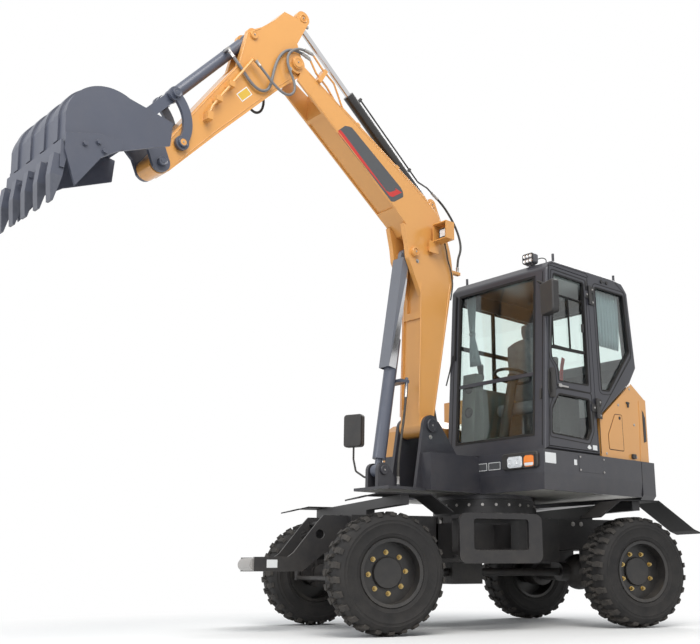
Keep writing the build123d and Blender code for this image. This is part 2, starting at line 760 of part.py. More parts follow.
def cab_glass():
    y0 = cab_right
    y1 = cab_left
    t = glass_thickness
    lo = 1455 + free_gap
    hi = 2780 - free_gap
    back = 20
    front = [(screen_plane(lo) - back, lo), (screen_plane(hi) - back, hi), (screen_plane(hi) - back - t, hi),
             (screen_plane(lo) - back - t, lo)]
    panes = [side_plate(front, screen_y0 + free_gap, screen_y1 - free_gap)]
    panes.append(side_shape(offset(rounded(quarter_window, 25), -free_gap), y1 - 20 - t, y1 - 20))
    panes.append(side_shape(offset(rounded(right_window, 25), -free_gap), y0 + 20, y0 + 20 + t))
    (xa, za), (xb, zb) = cab_profile[6], cab_profile[5]
    rear_x = [xa + (xb - xa) * (z - za) / (zb - za) + 20 for z in (2250 + free_gap, 2760 - free_gap)]
    rear = [(rear_x[0], 2250 + free_gap), (rear_x[1], 2760 - free_gap), (rear_x[1] + t, 2760 - free_gap),
            (rear_x[0] + t, 2250 + free_gap)]
    panes.append(side_plate(rear, y0 + 110 + free_gap, y1 - 110 - free_gap))
    return panes


def door_panel():
    y1 = cab_left
    panel = side_shape(make_face(Polyline(*door_outline, close=True)), y1 - door_thickness, y1)
    for window in (door_upper_window, door_lower_window):
        panel -= side_shape(rounded(window, 25), y1 - door_thickness - 5, y1 + 5)
    grip = box(180, 215, y1, y1 + 34, 1750, 1985)
    grip -= box(170, 225, y1 - 1, y1 + 18, 1785, 1950)
    panel += grip
    for z in door_hinge_heights:
        knuckle_bar = hinge_bar(z - 30, z + 30, hinge_radius) + hinge_leaf(z - 30, z + 30, 1)
        panel += knuckle_bar - hinge_bar(z - 90, z + 90, hinge_pin_radius + fit)
    return panel


def door_glass():
    y1 = cab_left
    t = glass_thickness
    panes = []
    for window in (door_upper_window, door_lower_window):
        panes.append(side_shape(offset(rounded(window, 25), -free_gap), y1 - 24 - t, y1 - 24))
    return panes


cab_floor = 1345 + cab_wall
seat_x = -160.0
seat_y = 380.0


def seat():
    base = box(seat_x - 190, seat_x + 170, seat_y - 180, seat_y + 180, cab_floor, cab_floor + 300)
    cushion = box(seat_x - 230, seat_x + 195, seat_y - 250, seat_y + 250, cab_floor + 300, cab_floor + 420)
    back = side_plate([(seat_x - 230, cab_floor + 420), (seat_x - 100, cab_floor + 420),
                       (seat_x - 210, cab_floor + 1000), (seat_x - 300, cab_floor + 1000)],
                      seat_y - 230, seat_y + 230)
    head = side_plate([(seat_x - 290, cab_floor + 1000), (seat_x - 220, cab_floor + 1000),
                       (seat_x - 240, cab_floor + 1150), (seat_x - 300, cab_floor + 1150)],
                      seat_y - 130, seat_y + 130)
    return base + cushion + back + head


def cab_console():
    right = box(-330, 60, cab_right + cab_wall, cab_right + cab_wall + 190, cab_floor, cab_floor + 560)
    column = side_plate([(60, cab_floor), (150, cab_floor), (100, cab_floor + 700), (10, cab_floor + 700)],
                        cab_right + cab_wall, cab_right + cab_wall + 150)
    left = box(-330, -60, seat_y + 270, seat_y + 400, cab_floor, cab_floor + 520)
    stick_r = post_z(-20, cab_right + cab_wall + 100, cab_floor + 560, cab_floor + 760, 18)
    stick_l = post_z(-120, seat_y + 335, cab_floor + 520, cab_floor + 720, 18)
    return [right + column + stick_r, left + stick_l]


def steering_column():
    a = (190, cab_floor)
    b = (30, cab_floor + 610)
    post = rod_between(a, b, seat_y, 40)
    post -= box(0, 400, seat_y - 60, seat_y + 60, cab_floor - 80, cab_floor)
    lean = degrees(atan2(b[0] - a[0], b[1] - a[1]))
    wheel = Pos(b[0], seat_y, b[1] + 20) * Rot(0, lean, 0) * Torus(150, 13)
    hub = Pos(b[0], seat_y, b[1] + 8) * Rot(0, lean, 0) * Cylinder(46, 36)
    spokes = Pos(b[0], seat_y, b[1] + 16) * Rot(0, lean, 0) * Box(28, 295, 12)
    return post + wheel + hub + spokes


def mirror_right():
    path = [(skirt_front + 20, -908, 1245), (470, -1010, 1247), (470, -1130, 1310), (470, -1165, 1420), (470, -1165, 1560)]
    tube = tube_path(path, [25, 30, 40], 9)
    clamp = box(skirt_front, skirt_front + 40, -928, -888, 1215, 1275)
    return tube + mirror_head(470, -1165, 1680, 300, 20) + clamp


mirror_arm_z = 2705.0


def mirror_left():
    path = [(180, cab_left - 70, mirror_arm_z), (262, cab_left - 50, mirror_arm_z), (290, cab_left + 88, mirror_arm_z - 75)]
    tube = tube_path(path, [25], 9)
    return tube + mirror_head(290, cab_left + 88, 2530, 270, -20) - cab_solid()


def mirror_head(x, y, z, height, turn):
    """A mirror's housing with rounded edges, its glass side towards -X."""
    housing = Box(60, 190, height)
    housing = fillet(housing.edges().filter_by(Axis.X), 30)
    housing = fillet(housing.faces().sort_by(Axis.X)[-1].edges(), 14)
    return Pos(x, y, z) * Rot(0, 0, turn) * housing


def lamps():
    x = skirt_front
    housing = box(x, x + 20, 521, 884, 1196, 1322)
    housing = fillet(housing.edges().filter_by(Axis.X), 30)
    housing = chamfer(housing.faces().sort_by(Axis.X)[-1].edges(), 5)
    for y0, y1 in ((585, 738), (752, 852)):
        glass = box(x + 15, x + 27, y0, y1, 1207, 1294)
        housing += fillet(glass.edges().filter_by(Axis.X), 26)
    roof = fillet(box(82, 142, 618, 734, 2922, 3012).edges().filter_by(Axis.X), 20)
    roof += pin_y((112, 2925), 12, 640, 712) + box(60, 124, 664, 688, 2880, 2932) - cab_solid()
    return [housing, mirrored(housing), roof]


# Boom, arm and bucket

def boom_outline():
    """The boom's side outline: a straight lower part, a knee and a tapering upper part."""
    tip_top = (2106, 4217)
    rear_high = (765, 3480)
    rear_knee = (578, 3270)
    rear_low = (472, 2830)
    heel = (712, 1592)
    toe = (866, 1560)
    front_low = (830, 2760)
    front_knee = (905, 3060)
    front_high = (1100, 3275)
    tip_low = (2150, 4075)
    edges = [Line(tip_top, rear_high), ThreePointArc(rear_high, rear_knee, rear_low), Line(rear_low, heel),
             Line(heel, toe), Line(toe, front_low), ThreePointArc(front_low, front_knee, front_high),
             Line(front_high, tip_low), Line(tip_low, tip_top)]
    return make_face(edges)


boom_grooves = (
    # (x, z) corners: under the upper part, then in front of the lower part
    ((1149, 3310), (1881, 3867), (1872, 3879), (1140, 3322)),
    ((864, 1700), (842, 2440), (828, 2440), (850, 1700)),
)


def boom_lamp():
    """A square lamp in a sheet housing that is open to the front, on its bracket."""
    shell = box(640, 738, 142, 300, 3108, 3262) - box(652, 745, 150, 292, 3116, 3254)
    lamp = box(648, 714, 197, 277, 3128, 3208)
    bracket = box(674, 781, 142, 150, 3010, 3112) + box(690, 765, boom_half - 2, 146, 3030, 3070)
    return shell + fillet(lamp.edges().filter_by(Axis.X), 14) + bracket


boom_cheek = [(835, 2620), (985, 2925), (1000, 3040), (1040, 3210), (860, 3150), (760, 2800)]


def boom():
    body = side_shape(boom_outline(), -boom_half, boom_half)
    # Rounded fork plates at the tip with the arm between them
    body += pin_y(arm_pin, 78, -boom_half, boom_half)
    fork = [(1905, 3700), (1905, 4400), (2400, 4500), (2400, 3900)]
    body -= side_plate(fork, -fork_gap, fork_gap)
    body += pin_y(arm_pin, arm_pin_radius, -boom_half - 24, boom_half + 24)
    # Foot tube
    body += pin_y(boom_foot, 82, -foot_plate_in + 2, foot_plate_in - 2)
    body -= pin_y(boom_foot, boom_pin_radius + fit, -boom_half - 40, boom_half + 40)
    # Ears of the boom cylinder below the knee
    for side in (-1, 1):
        y0 = min(side * boom_cheek_in, side * boom_half)
        y1 = max(side * boom_cheek_in, side * boom_half)
        body += side_plate(boom_cheek, y0, y1)
        body += pin_y(boom_cyl_eye, 62, y0, y1)
        b0 = min(side * boom_half, side * (boom_half + 20))
        b1 = max(side * boom_half, side * (boom_half + 20))
        body += pin_y(boom_cyl_eye, 44, b0, b1)
        body += pin_y(arm_pin, 50, b0, b1)
    pocket = [(815, 2500), (815, 3060), (860, 3130), (1010, 3150), (1200, 3150), (1200, 2500)]
    body -= side_plate(pocket, -boom_cheek_in, boom_cheek_in)
    for side in (-1, 1):
        s0 = min(side * (eye_half + free_gap), side * boom_cheek_in)
        s1 = max(side * (eye_half + free_gap), side * boom_cheek_in)
        body += pin_y(boom_cyl_eye, 30, s0, s1)
    # Ears of the arm cylinder on the upper edge
    lug = [(540, 3330), (632, 3520), (700, 3520), (780, 3478), (800, 3380)]
    for side in (-1, 1):
        y0 = min(side * ear_in, side * (ear_in + 24))
        y1 = max(side * ear_in, side * (ear_in + 24))
        body += ear(arm_cyl_foot, 54, lug, y0, y1)
    body += pin_y(arm_cyl_foot, arm_cyl_pin, -ear_in - 36, ear_in + 36)
    # The lower plates lie back between the side plates
    for groove in boom_grooves:
        body -= side_plate(groove, -boom_half + 13, boom_half - 13)
    # The work lamp in its open housing, and the shelf that the cylinder's hose ends on
    body += boom_lamp()
    body += box(366, 520, 70, 106, 2900, 2926)
    # Rear clamps of the hoses above the foot
    body += box(612, 680, -60, 60, 1985, 2030)
    for piece in boom_pipes():
        body += piece
    body += hose_end("arm_hose_c", 60)
    body += box(2035, 2110, -125, -boom_half + 2, 4150, 4310)
    return body


def arm_shape():
    apex = (2278, 4620)
    outline = [apex, (2360, 4514), (2481, 4397), (2600, 4316), (2673, 4007), (3043, 3464), (3292, 3090),
               (3272, 2992), (3160, 3022), (2821, 3398), (2325, 3927), (2110, 4130), (2090, 4250), (2149, 4397), (2050, 4610)]
    body = side_plate(outline, -arm_half, arm_half)
    body += pin_y(bucket_pin, 70, -arm_half, arm_half)
    body += pin_y(link_pin, 58, -arm_half, arm_half)
    body += pin_y(arm_cyl_eye, 60, -arm_half, arm_half)
    body += pin_y(arm_pin, 86, -arm_half, arm_half)
    body += pin_y(bucket_cyl_foot, 56, -arm_half, arm_half)
    return body


def arm():
    body = arm_shape()
    # Slots for the two cylinders' eyes
    tail_slot = [(1900, 4430), (2140, 4440), (2230, 4560), (2222, 4760), (1900, 4760)]
    body -= side_plate(tail_slot, -ear_in, ear_in)
    nose_slot = [(2470, 4345), (2480, 4230), (2545, 4140), (2700, 3940), (2800, 3940), (2760, 4500), (2500, 4500)]
    body -= side_plate(nose_slot, -ear_in - 10, ear_in + 10)
    body -= pin_y(arm_pin, arm_pin_radius + fit, -arm_half - 1, arm_half + 1)
    body -= pin_y(bucket_pin, bucket_pin_radius + fit, -arm_half - 1, arm_half + 1)
    body += pin_y(bucket_cyl_foot, bucket_cyl_pin, -arm_half - 16, arm_half + 16)
    body += pin_y(link_pin, link_pin_radius, -link_out - 14, link_out + 14)
    body += arm_pipe("arm_hose_b", 1) + arm_pipe("arm_hose_c", -1)
    return body


arm_pipe_low = (2885.0, 3585.0)
arm_pipe_end = (2908.0, 3520.0)


def arm_pipe(name, side):
    """The pipe down one side of the arm, its two clamps and its coupling."""
    start = past_start(name, 24)
    y = start.Y
    outer = y + side * 16
    y0, y1 = sorted((side * (arm_half - 5), outer))
    x, z = arm_pipe_low
    path = [(start.X, y, start.Z), (x, y, z), (arm_pipe_end[0], y, arm_pipe_end[1])]
    pipe = tube_path(path, [30], 10) + hose_start(name, 26)
    pipe += pin_y((start.X, start.Z), 15, y - 13, y + 13)
    for share in (0.56, 0.86):
        cx = start.X + (x - start.X) * share
        cz = start.Z + (z - start.Z) * share
        pipe += box(cx - 24, cx + 24, y0, y1, cz - 20, cz + 20)
    return pipe + box(2884, 2928, y0, y1, 3470, 3530)


cyl_specs = (
    # name, foot pin, eye pin, foot pin's radius, tube length, piston's place, tube radius, rod radius, eye radius
    ("boom", boom_cyl_foot, boom_cyl_eye, boom_cyl_pin, 1075.0, 850.0, 52.0, 27.5, 48.0),
    ("arm", arm_cyl_foot, arm_cyl_eye, arm_cyl_pin, 1150.0, 700.0, 46.0, 25.0, 44.0),
    ("bucket", bucket_cyl_foot, tip_pin, bucket_cyl_pin, 842.0, 122.0, 42.0, 22.5, 42.0),
)


def cylinder_pair(foot, eye, pin, tube, piston, tube_radius, rod_radius, eye_radius):
    """A hydraulic cylinder: a bored tube with its foot eye, and a rod with its own eye."""
    top = along(foot, eye, tube)
    barrel = rod_between(along(foot, eye, eye_radius + 42), top, 0, tube_radius)
    barrel += rod_between(foot, along(foot, eye, eye_radius + 44), 0, eye_half - 2)
    barrel += pin_y(foot, eye_radius, -eye_half, eye_half)
    bore_start = along(foot, eye, eye_radius + 60)
    barrel -= rod_between(bore_start, along(foot, eye, tube - 60), 0, tube_radius - 10)
    barrel -= rod_between(bore_start, along(foot, eye, tube + 5), 0, rod_radius + fit)
    barrel -= pin_y(foot, pin + fit, -eye_half - 1, eye_half + 1)
    length = apart(foot, eye)
    rod = rod_between(along(foot, eye, piston), along(foot, eye, length - 10), 0, rod_radius)
    rod += rod_between(along(foot, eye, piston), along(foot, eye, piston + 40), 0, tube_radius - 10 - free_gap)
    rod += pin_y(eye, eye_radius, -eye_half, eye_half)
    return barrel, rod


def fitting(a, b, length, radius):
    """A straight fitting that ends at a, on the line from b to a, so that a hose or pipe meets it there."""
    direction = (Vector(*a) - Vector(*b)).normalized()
    plane = Plane(origin=a, z_dir=(direction.X, direction.Y, direction.Z))
    return extrude(plane * Circle(radius), length)


def route(name):
    """The points of one hose."""
    return {row[0]: row[2] for row in hose_routes}[name]


def past_start(name, length):
    """The point behind a hose's start, in line with its first run."""
    points = route(name)
    a = Vector(*points[0])
    return a + (a - Vector(*points[1])).normalized() * length


def past_end(name, length):
    """The point beyond a hose's end, in line with its last run."""
    points = route(name)
    a = Vector(*points[-1])
    return a + (a - Vector(*points[-2])).normalized() * length


def hose_start(name, length, radius=13.0):
    """The fitting that a hose's start meets face to face."""
    return fitting(route(name)[0], route(name)[1], length, radius)


def hose_end(name, length, radius=13.0):
    """The fitting that a hose's end meets face to face."""
    return fitting(route(name)[-1], route(name)[-2], length, radius)


arm_pipe_off = 92.0
arm_pipe_stops = (1055.0, 205.0)


def beside_arm_cylinder(distance, off):
    """The (x, z) place at a distance along the arm cylinder and off its axis, upwards."""
    x, z = along(arm_cyl_foot, arm_cyl_eye, distance)
    ux = (arm_cyl_eye[0] - arm_cyl_foot[0]) / apart(arm_cyl_foot, arm_cyl_eye)
    uz = (arm_cyl_eye[1] - arm_cyl_foot[1]) / apart(arm_cyl_foot, arm_cyl_eye)
    return (x - uz * off, z + ux * off)


def arm_tube_pipe():
    """The pipe above the arm cylinder, past its foot to the hose, on two posts."""
    high, low = [beside_arm_cylinder(stop, arm_pipe_off) for stop in arm_pipe_stops]
    bend = past_start("arm_cylinder_hose", 100)
    path = [(high[0], 0, high[1]), (low[0], 0, low[1]), (bend.X, 0, bend.Z), route("arm_cylinder_hose")[0]]
    pipe = tube_path(path, [40, 30], 7)
    for stop in (arm_pipe_stops[0], arm_pipe_stops[1] + 130):
        pipe += rod_between(beside_arm_cylinder(stop, 39), beside_arm_cylinder(stop, arm_pipe_off + 9), 0, 14)
    return pipe + hose_start("arm_cylinder_hose", 34)


boom_pipe_rows = (
    # hose at the tip, hose at the foot, y at the tip, y along the edge, bends (x, z) at the tip
    ("arm_hose_b", "foot_hose_l", 126.0, 99.0, ((1935, 4250), (1808, 4172), (1700, 4005))),
    ("arm_hose_a", "foot_hose_r", 106.0, 80.0, ((1975, 4202), (1866, 4130), (1745, 4030))),
)
boom_edge_places = ((800, 3511), (640, 3378), (526, 3185), (457, 2860))
boom_clamps = (
    # foot of the clamp on the boom's upper edge (x, z), its height and its outer y
    (1975.0, 4138.0, 137.0, 134.0),
    (1560.0, 3910.0, 29.0, 109.0),
    (1130.0, 3673.6, 29.0, 109.0),
)
edge_slope = 0.5496


def boom_pipes():
    """Two pipes along the boom's upper edge and down its rear, with their clamps."""
    pieces = []
    for tip_hose, foot_hose, y_tip, y_edge, bends in boom_pipe_rows:
        start = past_end(tip_hose, 34)
        points = [route(tip_hose)[-1], (start.X, start.Y, start.Z)]
        points += [(x, y, z) for (x, z), y in zip(bends, (y_tip, y_tip - 5, y_edge))]
        points += [(x, y_edge, z) for x, z in boom_edge_places]
        y_foot = route(foot_hose)[0][1]
        finish = past_start(foot_hose, 165)
        points += [(540, (y_edge + y_foot) / 2, 2423), (finish.X, finish.Y, finish.Z), route(foot_hose)[0]]
        pieces += [tube_path(points, [30] * (len(points) - 2), 8), hose_end(tip_hose, 30)]
        pieces += [hose_start(foot_hose, 34)]
    for x, z, height, y1 in boom_clamps:
        low = (x - 30, z - 30 * edge_slope)
        rise = (-0.482 * height, 0.876 * height)
        quad = [(x, z), low, (low[0] + rise[0], low[1] + rise[1]), (x + rise[0], z + rise[1])]
        pieces.append(side_plate(quad, 71, y1))
    return pieces


def rod_guard():
    """The folded sheet that covers the front of the boom cylinder's rod."""
    length = apart(boom_cyl_foot, boom_cyl_eye)
    low = length - 1010
    a = along(boom_cyl_foot, boom_cyl_eye, low)
    b = along(boom_cyl_foot, boom_cyl_eye, length - 62)
    lean = degrees(atan2(b[0] - a[0], b[1] - a[1]))
    half = 60
    depth = 72
    sheet = Box(depth * 2, half * 2, apart(a, b)) - Pos(-6, 0, 0) * Box(depth * 2, half * 2 - 8, apart(a, b) + 2)
    sheet -= Pos(-depth, 0, 0) * Box(depth * 1.9, half * 3, apart(a, b) + 2)
    cap = Pos(depth / 2 - 2, 0, apart(a, b) / 2 - 3) * Box(depth - 4, half * 2 - 8, 6)
    cap -= Cylinder(27.5, 4000)
    tab = Pos(40, 0, apart(a, b) / 2 + 26) * Box(40, 40, 62)
    place = Pos((a[0] + b[0]) / 2, 0, (a[1] + b[1]) / 2) * Rot(0, lean, 0)
    return place * (sheet + cap + tab)


def side_links():
    """Two curved plates between the arm and the bucket cylinder's eye."""
    middle = ThreePointArc(tip_pin, link_bow, link_pin)
    strip = make_face(offset(middle, link_width / 2, side=Side.BOTH))
    plates = []
    for side in (-1, 1):
        y0 = min(side * link_in, side * link_out)
        y1 = max(side * link_in, side * link_out)
        plate = side_shape(strip, y0, y1)
        plate += pin_y(tip_pin, 50, y0, y1)
        plate += pin_y(link_pin, 50, y0, y1)
        plate += pin_y(tip_pin, 30, min(y0, side * (link_out + 14)), max(y1, side * (link_out + 14)))
        plate -= pin_y(link_pin, link_pin_radius + fit, y0 - 1, y1 + 1)
        plates.append(plate)
    return plates


def tipping_link():
    y_out = 86
    y_in = 40
    plates = None
    for side in (-1, 1):
        y0 = min(side * y_in, side * y_out)
        y1 = max(side * y_in, side * y_out)
        plate = pin_y(tip_pin, 46, y0, y1) + pin_y(bucket_link_pin, 46, y0, y1)
        a = along(tip_pin, bucket_link_pin, 20)
        b = along(tip_pin, bucket_link_pin, apart(tip_pin, bucket_link_pin) - 20)
        nx = -(b[1] - a[1]) / apart(a, b)
        nz = (b[0] - a[0]) / apart(a, b)
        w = 36
        strip = [(a[0] + nx * w, a[1] + nz * w), (b[0] + nx * w, b[1] + nz * w),
                 (b[0] - nx * w, b[1] - nz * w), (a[0] - nx * w, a[1] - nz * w)]
        plate += side_plate(strip, y0, y1)
        plates = plate if plates is None else plates + plate
    web_a = along(tip_pin, bucket_link_pin, 188)
    web_b = along(tip_pin, bucket_link_pin, 240)
    web = box(-30, 30, -y_in - 1, y_in + 1, -26, 26)
    lean = degrees(atan2(web_b[0] - web_a[0], web_b[1] - web_a[1]))
    plates += Pos((web_a[0] + web_b[0]) / 2, 0, (web_a[1] + web_b[1]) / 2) * Rot(0, lean, 0) * web
    plates -= pin_y(bucket_link_pin, bucket_link_pin_radius + fit, -y_out - 1, y_out + 1)
    return plates


def bucket():
    """A curved back, two side plates and the ears that hang on the arm."""
    y = bucket_half
    outer = make_face([
        Line((3320, 3200), (3620, 3260)),
        ThreePointArc((3620, 3260), (3890, 3235), (4005, 3040)),
        Line((4005, 3040), (3990, 2770)),
        Line((3990, 2770), (3640, 2905)),
        Line((3640, 2905), (3330, 3040)),
        Line((3330, 3040), (3320, 3200)),
    ])
    body = side_shape(outer, -y, y)
    room = make_face([
        Line((3200, 3186), (3622, 3244)),
        ThreePointArc((3622, 3244), (3880, 3222), (3989, 3038)),
        Line((3989, 3038), (3975, 2740)),
        Line((3975, 2740), (3600, 2700)),
        Line((3600, 2700), (3200, 2900)),
        Line((3200, 2900), (3200, 3186)),
    ])
    body -= side_shape(room, -y + bucket_wall, y - bucket_wall)
    # Cutting edge plate
    body += side_plate([(4006, 2860), (4016, 2860), (4010, 2690), (3984, 2690), (3975, 2760)], -y, y)
    # Hanger ears with their bosses
    for side in (-1, 1):
        y0 = min(side * 94, side * 120)
        y1 = max(side * 94, side * 120)
        hanger = [(3176, 3075), (3195, 3008), (3237, 2990), (3290, 3010), (3335, 3110), (3420, 3190), (3610, 3240),
                  (3590, 3262), (3420, 3394), (3310, 3390)]
        body += side_plate(hanger, y0, y1)
        body += pin_y(bucket_pin, 66, y0, y1)
        body += pin_y(bucket_link_pin, 52, y0, y1)
    body += pin_y(bucket_pin, bucket_pin_radius, -140, 140)
    body += pin_y(bucket_link_pin, bucket_link_pin_radius, -134, 134)
    for extra in bucket_teeth() + bucket_straps() + side_cutters():
        body += extra
    return body


tooth_count = 5


def bucket_teeth():
    teeth = []
    width = 62
    span = 2 * bucket_half - width - 20
    for i in range(tooth_count):
        y = -span / 2 + i * span / (tooth_count - 1)
        profile = [(4046, 2770), (4056, 2640), (4040, 2480), (4026, 2480), (3985, 2640), (3980, 2700), (4000, 2700),
                   (4005, 2770)]
        teeth.append(side_plate(profile, y - width / 2, y + width / 2))
    return teeth


strap_places = (-290.0, -100.0, 100.0, 290.0)


def bucket_straps():
    """Wear straps that follow the curved back."""
    edges = [ThreePointArc((3640, 3272), (3899, 3243), (4016, 3040)), Line((4016, 3040), (4008, 2880)),
             Line((4008, 2880), (3988, 2880)), Line((3988, 2880), (3996, 3040)),
             ThreePointArc((3996, 3040), (3883, 3228), (3640, 3254)), Line((3640, 3254), (3640, 3272))]
    return [side_shape(make_face(edges), y - 30, y + 30) for y in strap_places]


def side_cutters():
    """A pointed plate on each side of the bucket's mouth."""
    points = [(3640, 2912), (3775, 2814), (3917, 2596), (3994, 2800), (3997, 2905), (3800, 2960), (3655, 2965)]
    cutter = side_plate(points, bucket_half - 6, bucket_half + 12)
    return [cutter, mirrored(cutter)]


def save_all():
    save("chassis_frame", chassis_frame(), upper=False)
    save("slew_ring", slew_ring(), upper=False)
    save("front_axle", front_axle(), upper=False)
    save("steering_rod", steering_rod(), upper=False)
    save("rear_axle", rear_axle(), upper=False)
    save("drive_line", drive_line(), upper=False)
    save("front_bracket", front_bracket(), upper=False)
    save_group("mudguards", mudguards(), upper=False)
    left_step = step_frame()
    save_group("steps", [left_step, mirrored(left_step)], upper=False)
    left_knuckle = knuckle()
    save("knuckle_l", left_knuckle, upper=False)
    save("knuckle_r", mirrored(left_knuckle), upper=False)
    rim = wheel_rim()
    tyre_body = tyre()
    for name, x, side in wheel_places:
        turn = 0 if side > 0 else 180
        place = Pos(x, side * track / 2, axle_height) * Rot(0, 0, turn)
        save("rim_" + name, place * rim, upper=False)
        save("tyre_" + name, place * tyre_body, upper=False)
    save("upper_frame", upper_frame())
    left_skirt = skirt()
    save_group("skirts", [left_skirt, mirrored(left_skirt)])
    save("counterweight", counterweight())
    save("engine_hood", engine_hood())
    save("side_hood", side_hood())
    save("engine_block", engine_block())
    save("cab_frame", cab_frame())
    save_group("cab_glass", cab_glass())
    save("door", door_panel())
    save_group("door_glass", door_glass())
    save("seat", seat())
    save_group("cab_controls", cab_console() + [steering_column()])
    save_group("mirrors", [mirror_left(), mirror_right()])
    save_group("lamps", lamps())
    save("boom", boom())
    save("arm", arm())
    for name, *sizes in cyl_specs:
        barrel, rod = cylinder_pair(*sizes)
        if name == "boom":
            rod += rod_guard()
            barrel += box(955, 1049, -82, 86, 1880, 1905)
            barrel += hose_start("boom_cylinder_hose_l", 110) + hose_start("boom_cylinder_hose_r", 120)
        if name == "arm":
            barrel += arm_tube_pipe()
        if name == "bucket":
            port = past_start("arm_hose_a", 24)
            barrel += pin_y((port.X, port.Z), 16, 30.5, port.Y + 13)
            barrel += hose_start("arm_hose_a", 26)
        save(name + "_barrel", barrel)
        save(name + "_rod", rod)
    save_group("side_links", side_links())
    save("tipping_link", tipping_link())
    save("bucket", bucket())
    for name, diameter, points in hose_routes:
        save(name, hose(name, diameter, points))


save_all()

# Joint places and directions in the part's own frame
across = (-sin(radians(slew_angle)), cos(radians(slew_angle)), 0)
print("across", across)
for name, place in (("boom_foot", boom_foot), ("boom_cyl_foot", boom_cyl_foot), ("boom_cyl_eye", boom_cyl_eye),
                    ("arm_pin", arm_pin), ("arm_cyl_foot", arm_cyl_foot), ("arm_cyl_eye", arm_cyl_eye),
                    ("bucket_cyl_foot", bucket_cyl_foot), ("link_pin", link_pin), ("bucket_pin", bucket_pin),
                    ("tip_pin", tip_pin), ("bucket_link_pin", bucket_link_pin)):
    print("pin", name, *[round(v, 3) for v in upper_point(place[0], 0, place[1])])
print("pin", "slew", *chassis_point(slew_x, 0, ring_top))
print("pin", "door_hinge_low", *[round(v, 3) for v in upper_point(hinge_x(1730), cab_left + hinge_out, 1730)])
print("pin", "door_hinge_high", *[round(v, 3) for v in upper_point(hinge_x(2700), cab_left + hinge_out, 2700)])
for name, x, side in wheel_places:
    print("pin", "wheel_" + name, *chassis_point(x, side * track / 2, axle_height))
for name, side in (("l", 1), ("r", -1)):
    print("pin", "knuckle_" + name, *chassis_point(0, side * kingpin_y, axle_height))
print(len(node_names), "nodes")
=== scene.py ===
# %% [markdown]
# This lesson dresses a wheeled excavator. The CAD model gives every piece its true place and
# size, and Blender adds what CAD leaves out: paint, dust, rubber, seals, bolts and hoses.
# The frame is loaded first, because every later piece is placed against it.

# %% Load the frame
import math

import bmesh
import bpy
from mathutils import Matrix, Vector


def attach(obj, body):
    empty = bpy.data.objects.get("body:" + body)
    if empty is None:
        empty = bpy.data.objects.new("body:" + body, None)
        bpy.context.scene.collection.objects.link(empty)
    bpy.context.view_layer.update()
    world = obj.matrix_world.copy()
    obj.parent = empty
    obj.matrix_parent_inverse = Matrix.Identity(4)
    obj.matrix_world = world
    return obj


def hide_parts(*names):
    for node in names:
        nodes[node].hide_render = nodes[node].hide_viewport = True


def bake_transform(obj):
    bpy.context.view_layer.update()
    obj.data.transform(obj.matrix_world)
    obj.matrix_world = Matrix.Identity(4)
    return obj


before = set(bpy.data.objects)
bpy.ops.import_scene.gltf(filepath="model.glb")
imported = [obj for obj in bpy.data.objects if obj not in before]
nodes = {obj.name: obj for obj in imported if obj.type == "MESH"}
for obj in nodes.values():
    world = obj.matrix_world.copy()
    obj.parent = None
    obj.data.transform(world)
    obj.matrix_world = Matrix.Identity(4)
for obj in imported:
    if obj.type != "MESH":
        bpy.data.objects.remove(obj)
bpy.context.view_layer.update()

# %% [markdown]
# The machine has two natural frames. The chassis stands square, and the upper structure rests
# turned on its slewing ring. Both are measured in millimetres, as on a workshop drawing, so each
# gets a matrix that carries its millimetres into the metres of the shared frame.


# %% The two workshop frames
SLEW_ANGLE = math.radians(19.9)
MM = Matrix.Scale(0.001, 4)
CHASSIS = Matrix.Translation((0.073, -0.234, 0)) @ MM
UPPER = Matrix.Translation((-1.167, -0.234, 0)) @ Matrix.Rotation(SLEW_ANGLE, 4, "Z") @ MM
RING_X = -1240.0
WHEEL_Z = 422.5
TRACK_HALF = 820.0
WHEELS = (
    # node ending, x, side, turn of its nuts in degrees
    ("fl", 0.0, 1, 4.0),
    ("fr", 0.0, -1, 31.0),
    ("rl", -2120.0, 1, 22.5),
    ("rr", -2120.0, -1, 11.0),
)
PINS = {
    "boom_foot": (785, 1550), "boom_cylinder_foot": (1210, 1178), "boom_cylinder_eye": (920, 2983),
    "arm": (2168, 4210), "arm_cylinder_foot": (670, 3480), "arm_cylinder_eye": (2100, 4640),
    "bucket_cylinder_foot": (2548, 4300), "side_link": (3090, 3240), "bucket": (3237, 3053),
    "rod_eye": (3160, 3580), "tipping_link": (3365, 3345),
}
print("wheels", len(WHEELS), "pins", len(PINS))

# %% [markdown]
# Before any look is judged, the camera has to stand where the photographer stood. Its place, turn
# and lens come from fitting the machine's known points. The shift is there because the picture is
# a cut-out of a wider one, so the lens axis doesn't pass through its middle.

# %% Camera
CAMERA_PLACE = Vector((2.637, 6.900, 0.437))
CAMERA_YAW = math.radians(-114.602)
CAMERA_PITCH = math.radians(14.391)
CAMERA_ROLL = math.radians(-0.286)

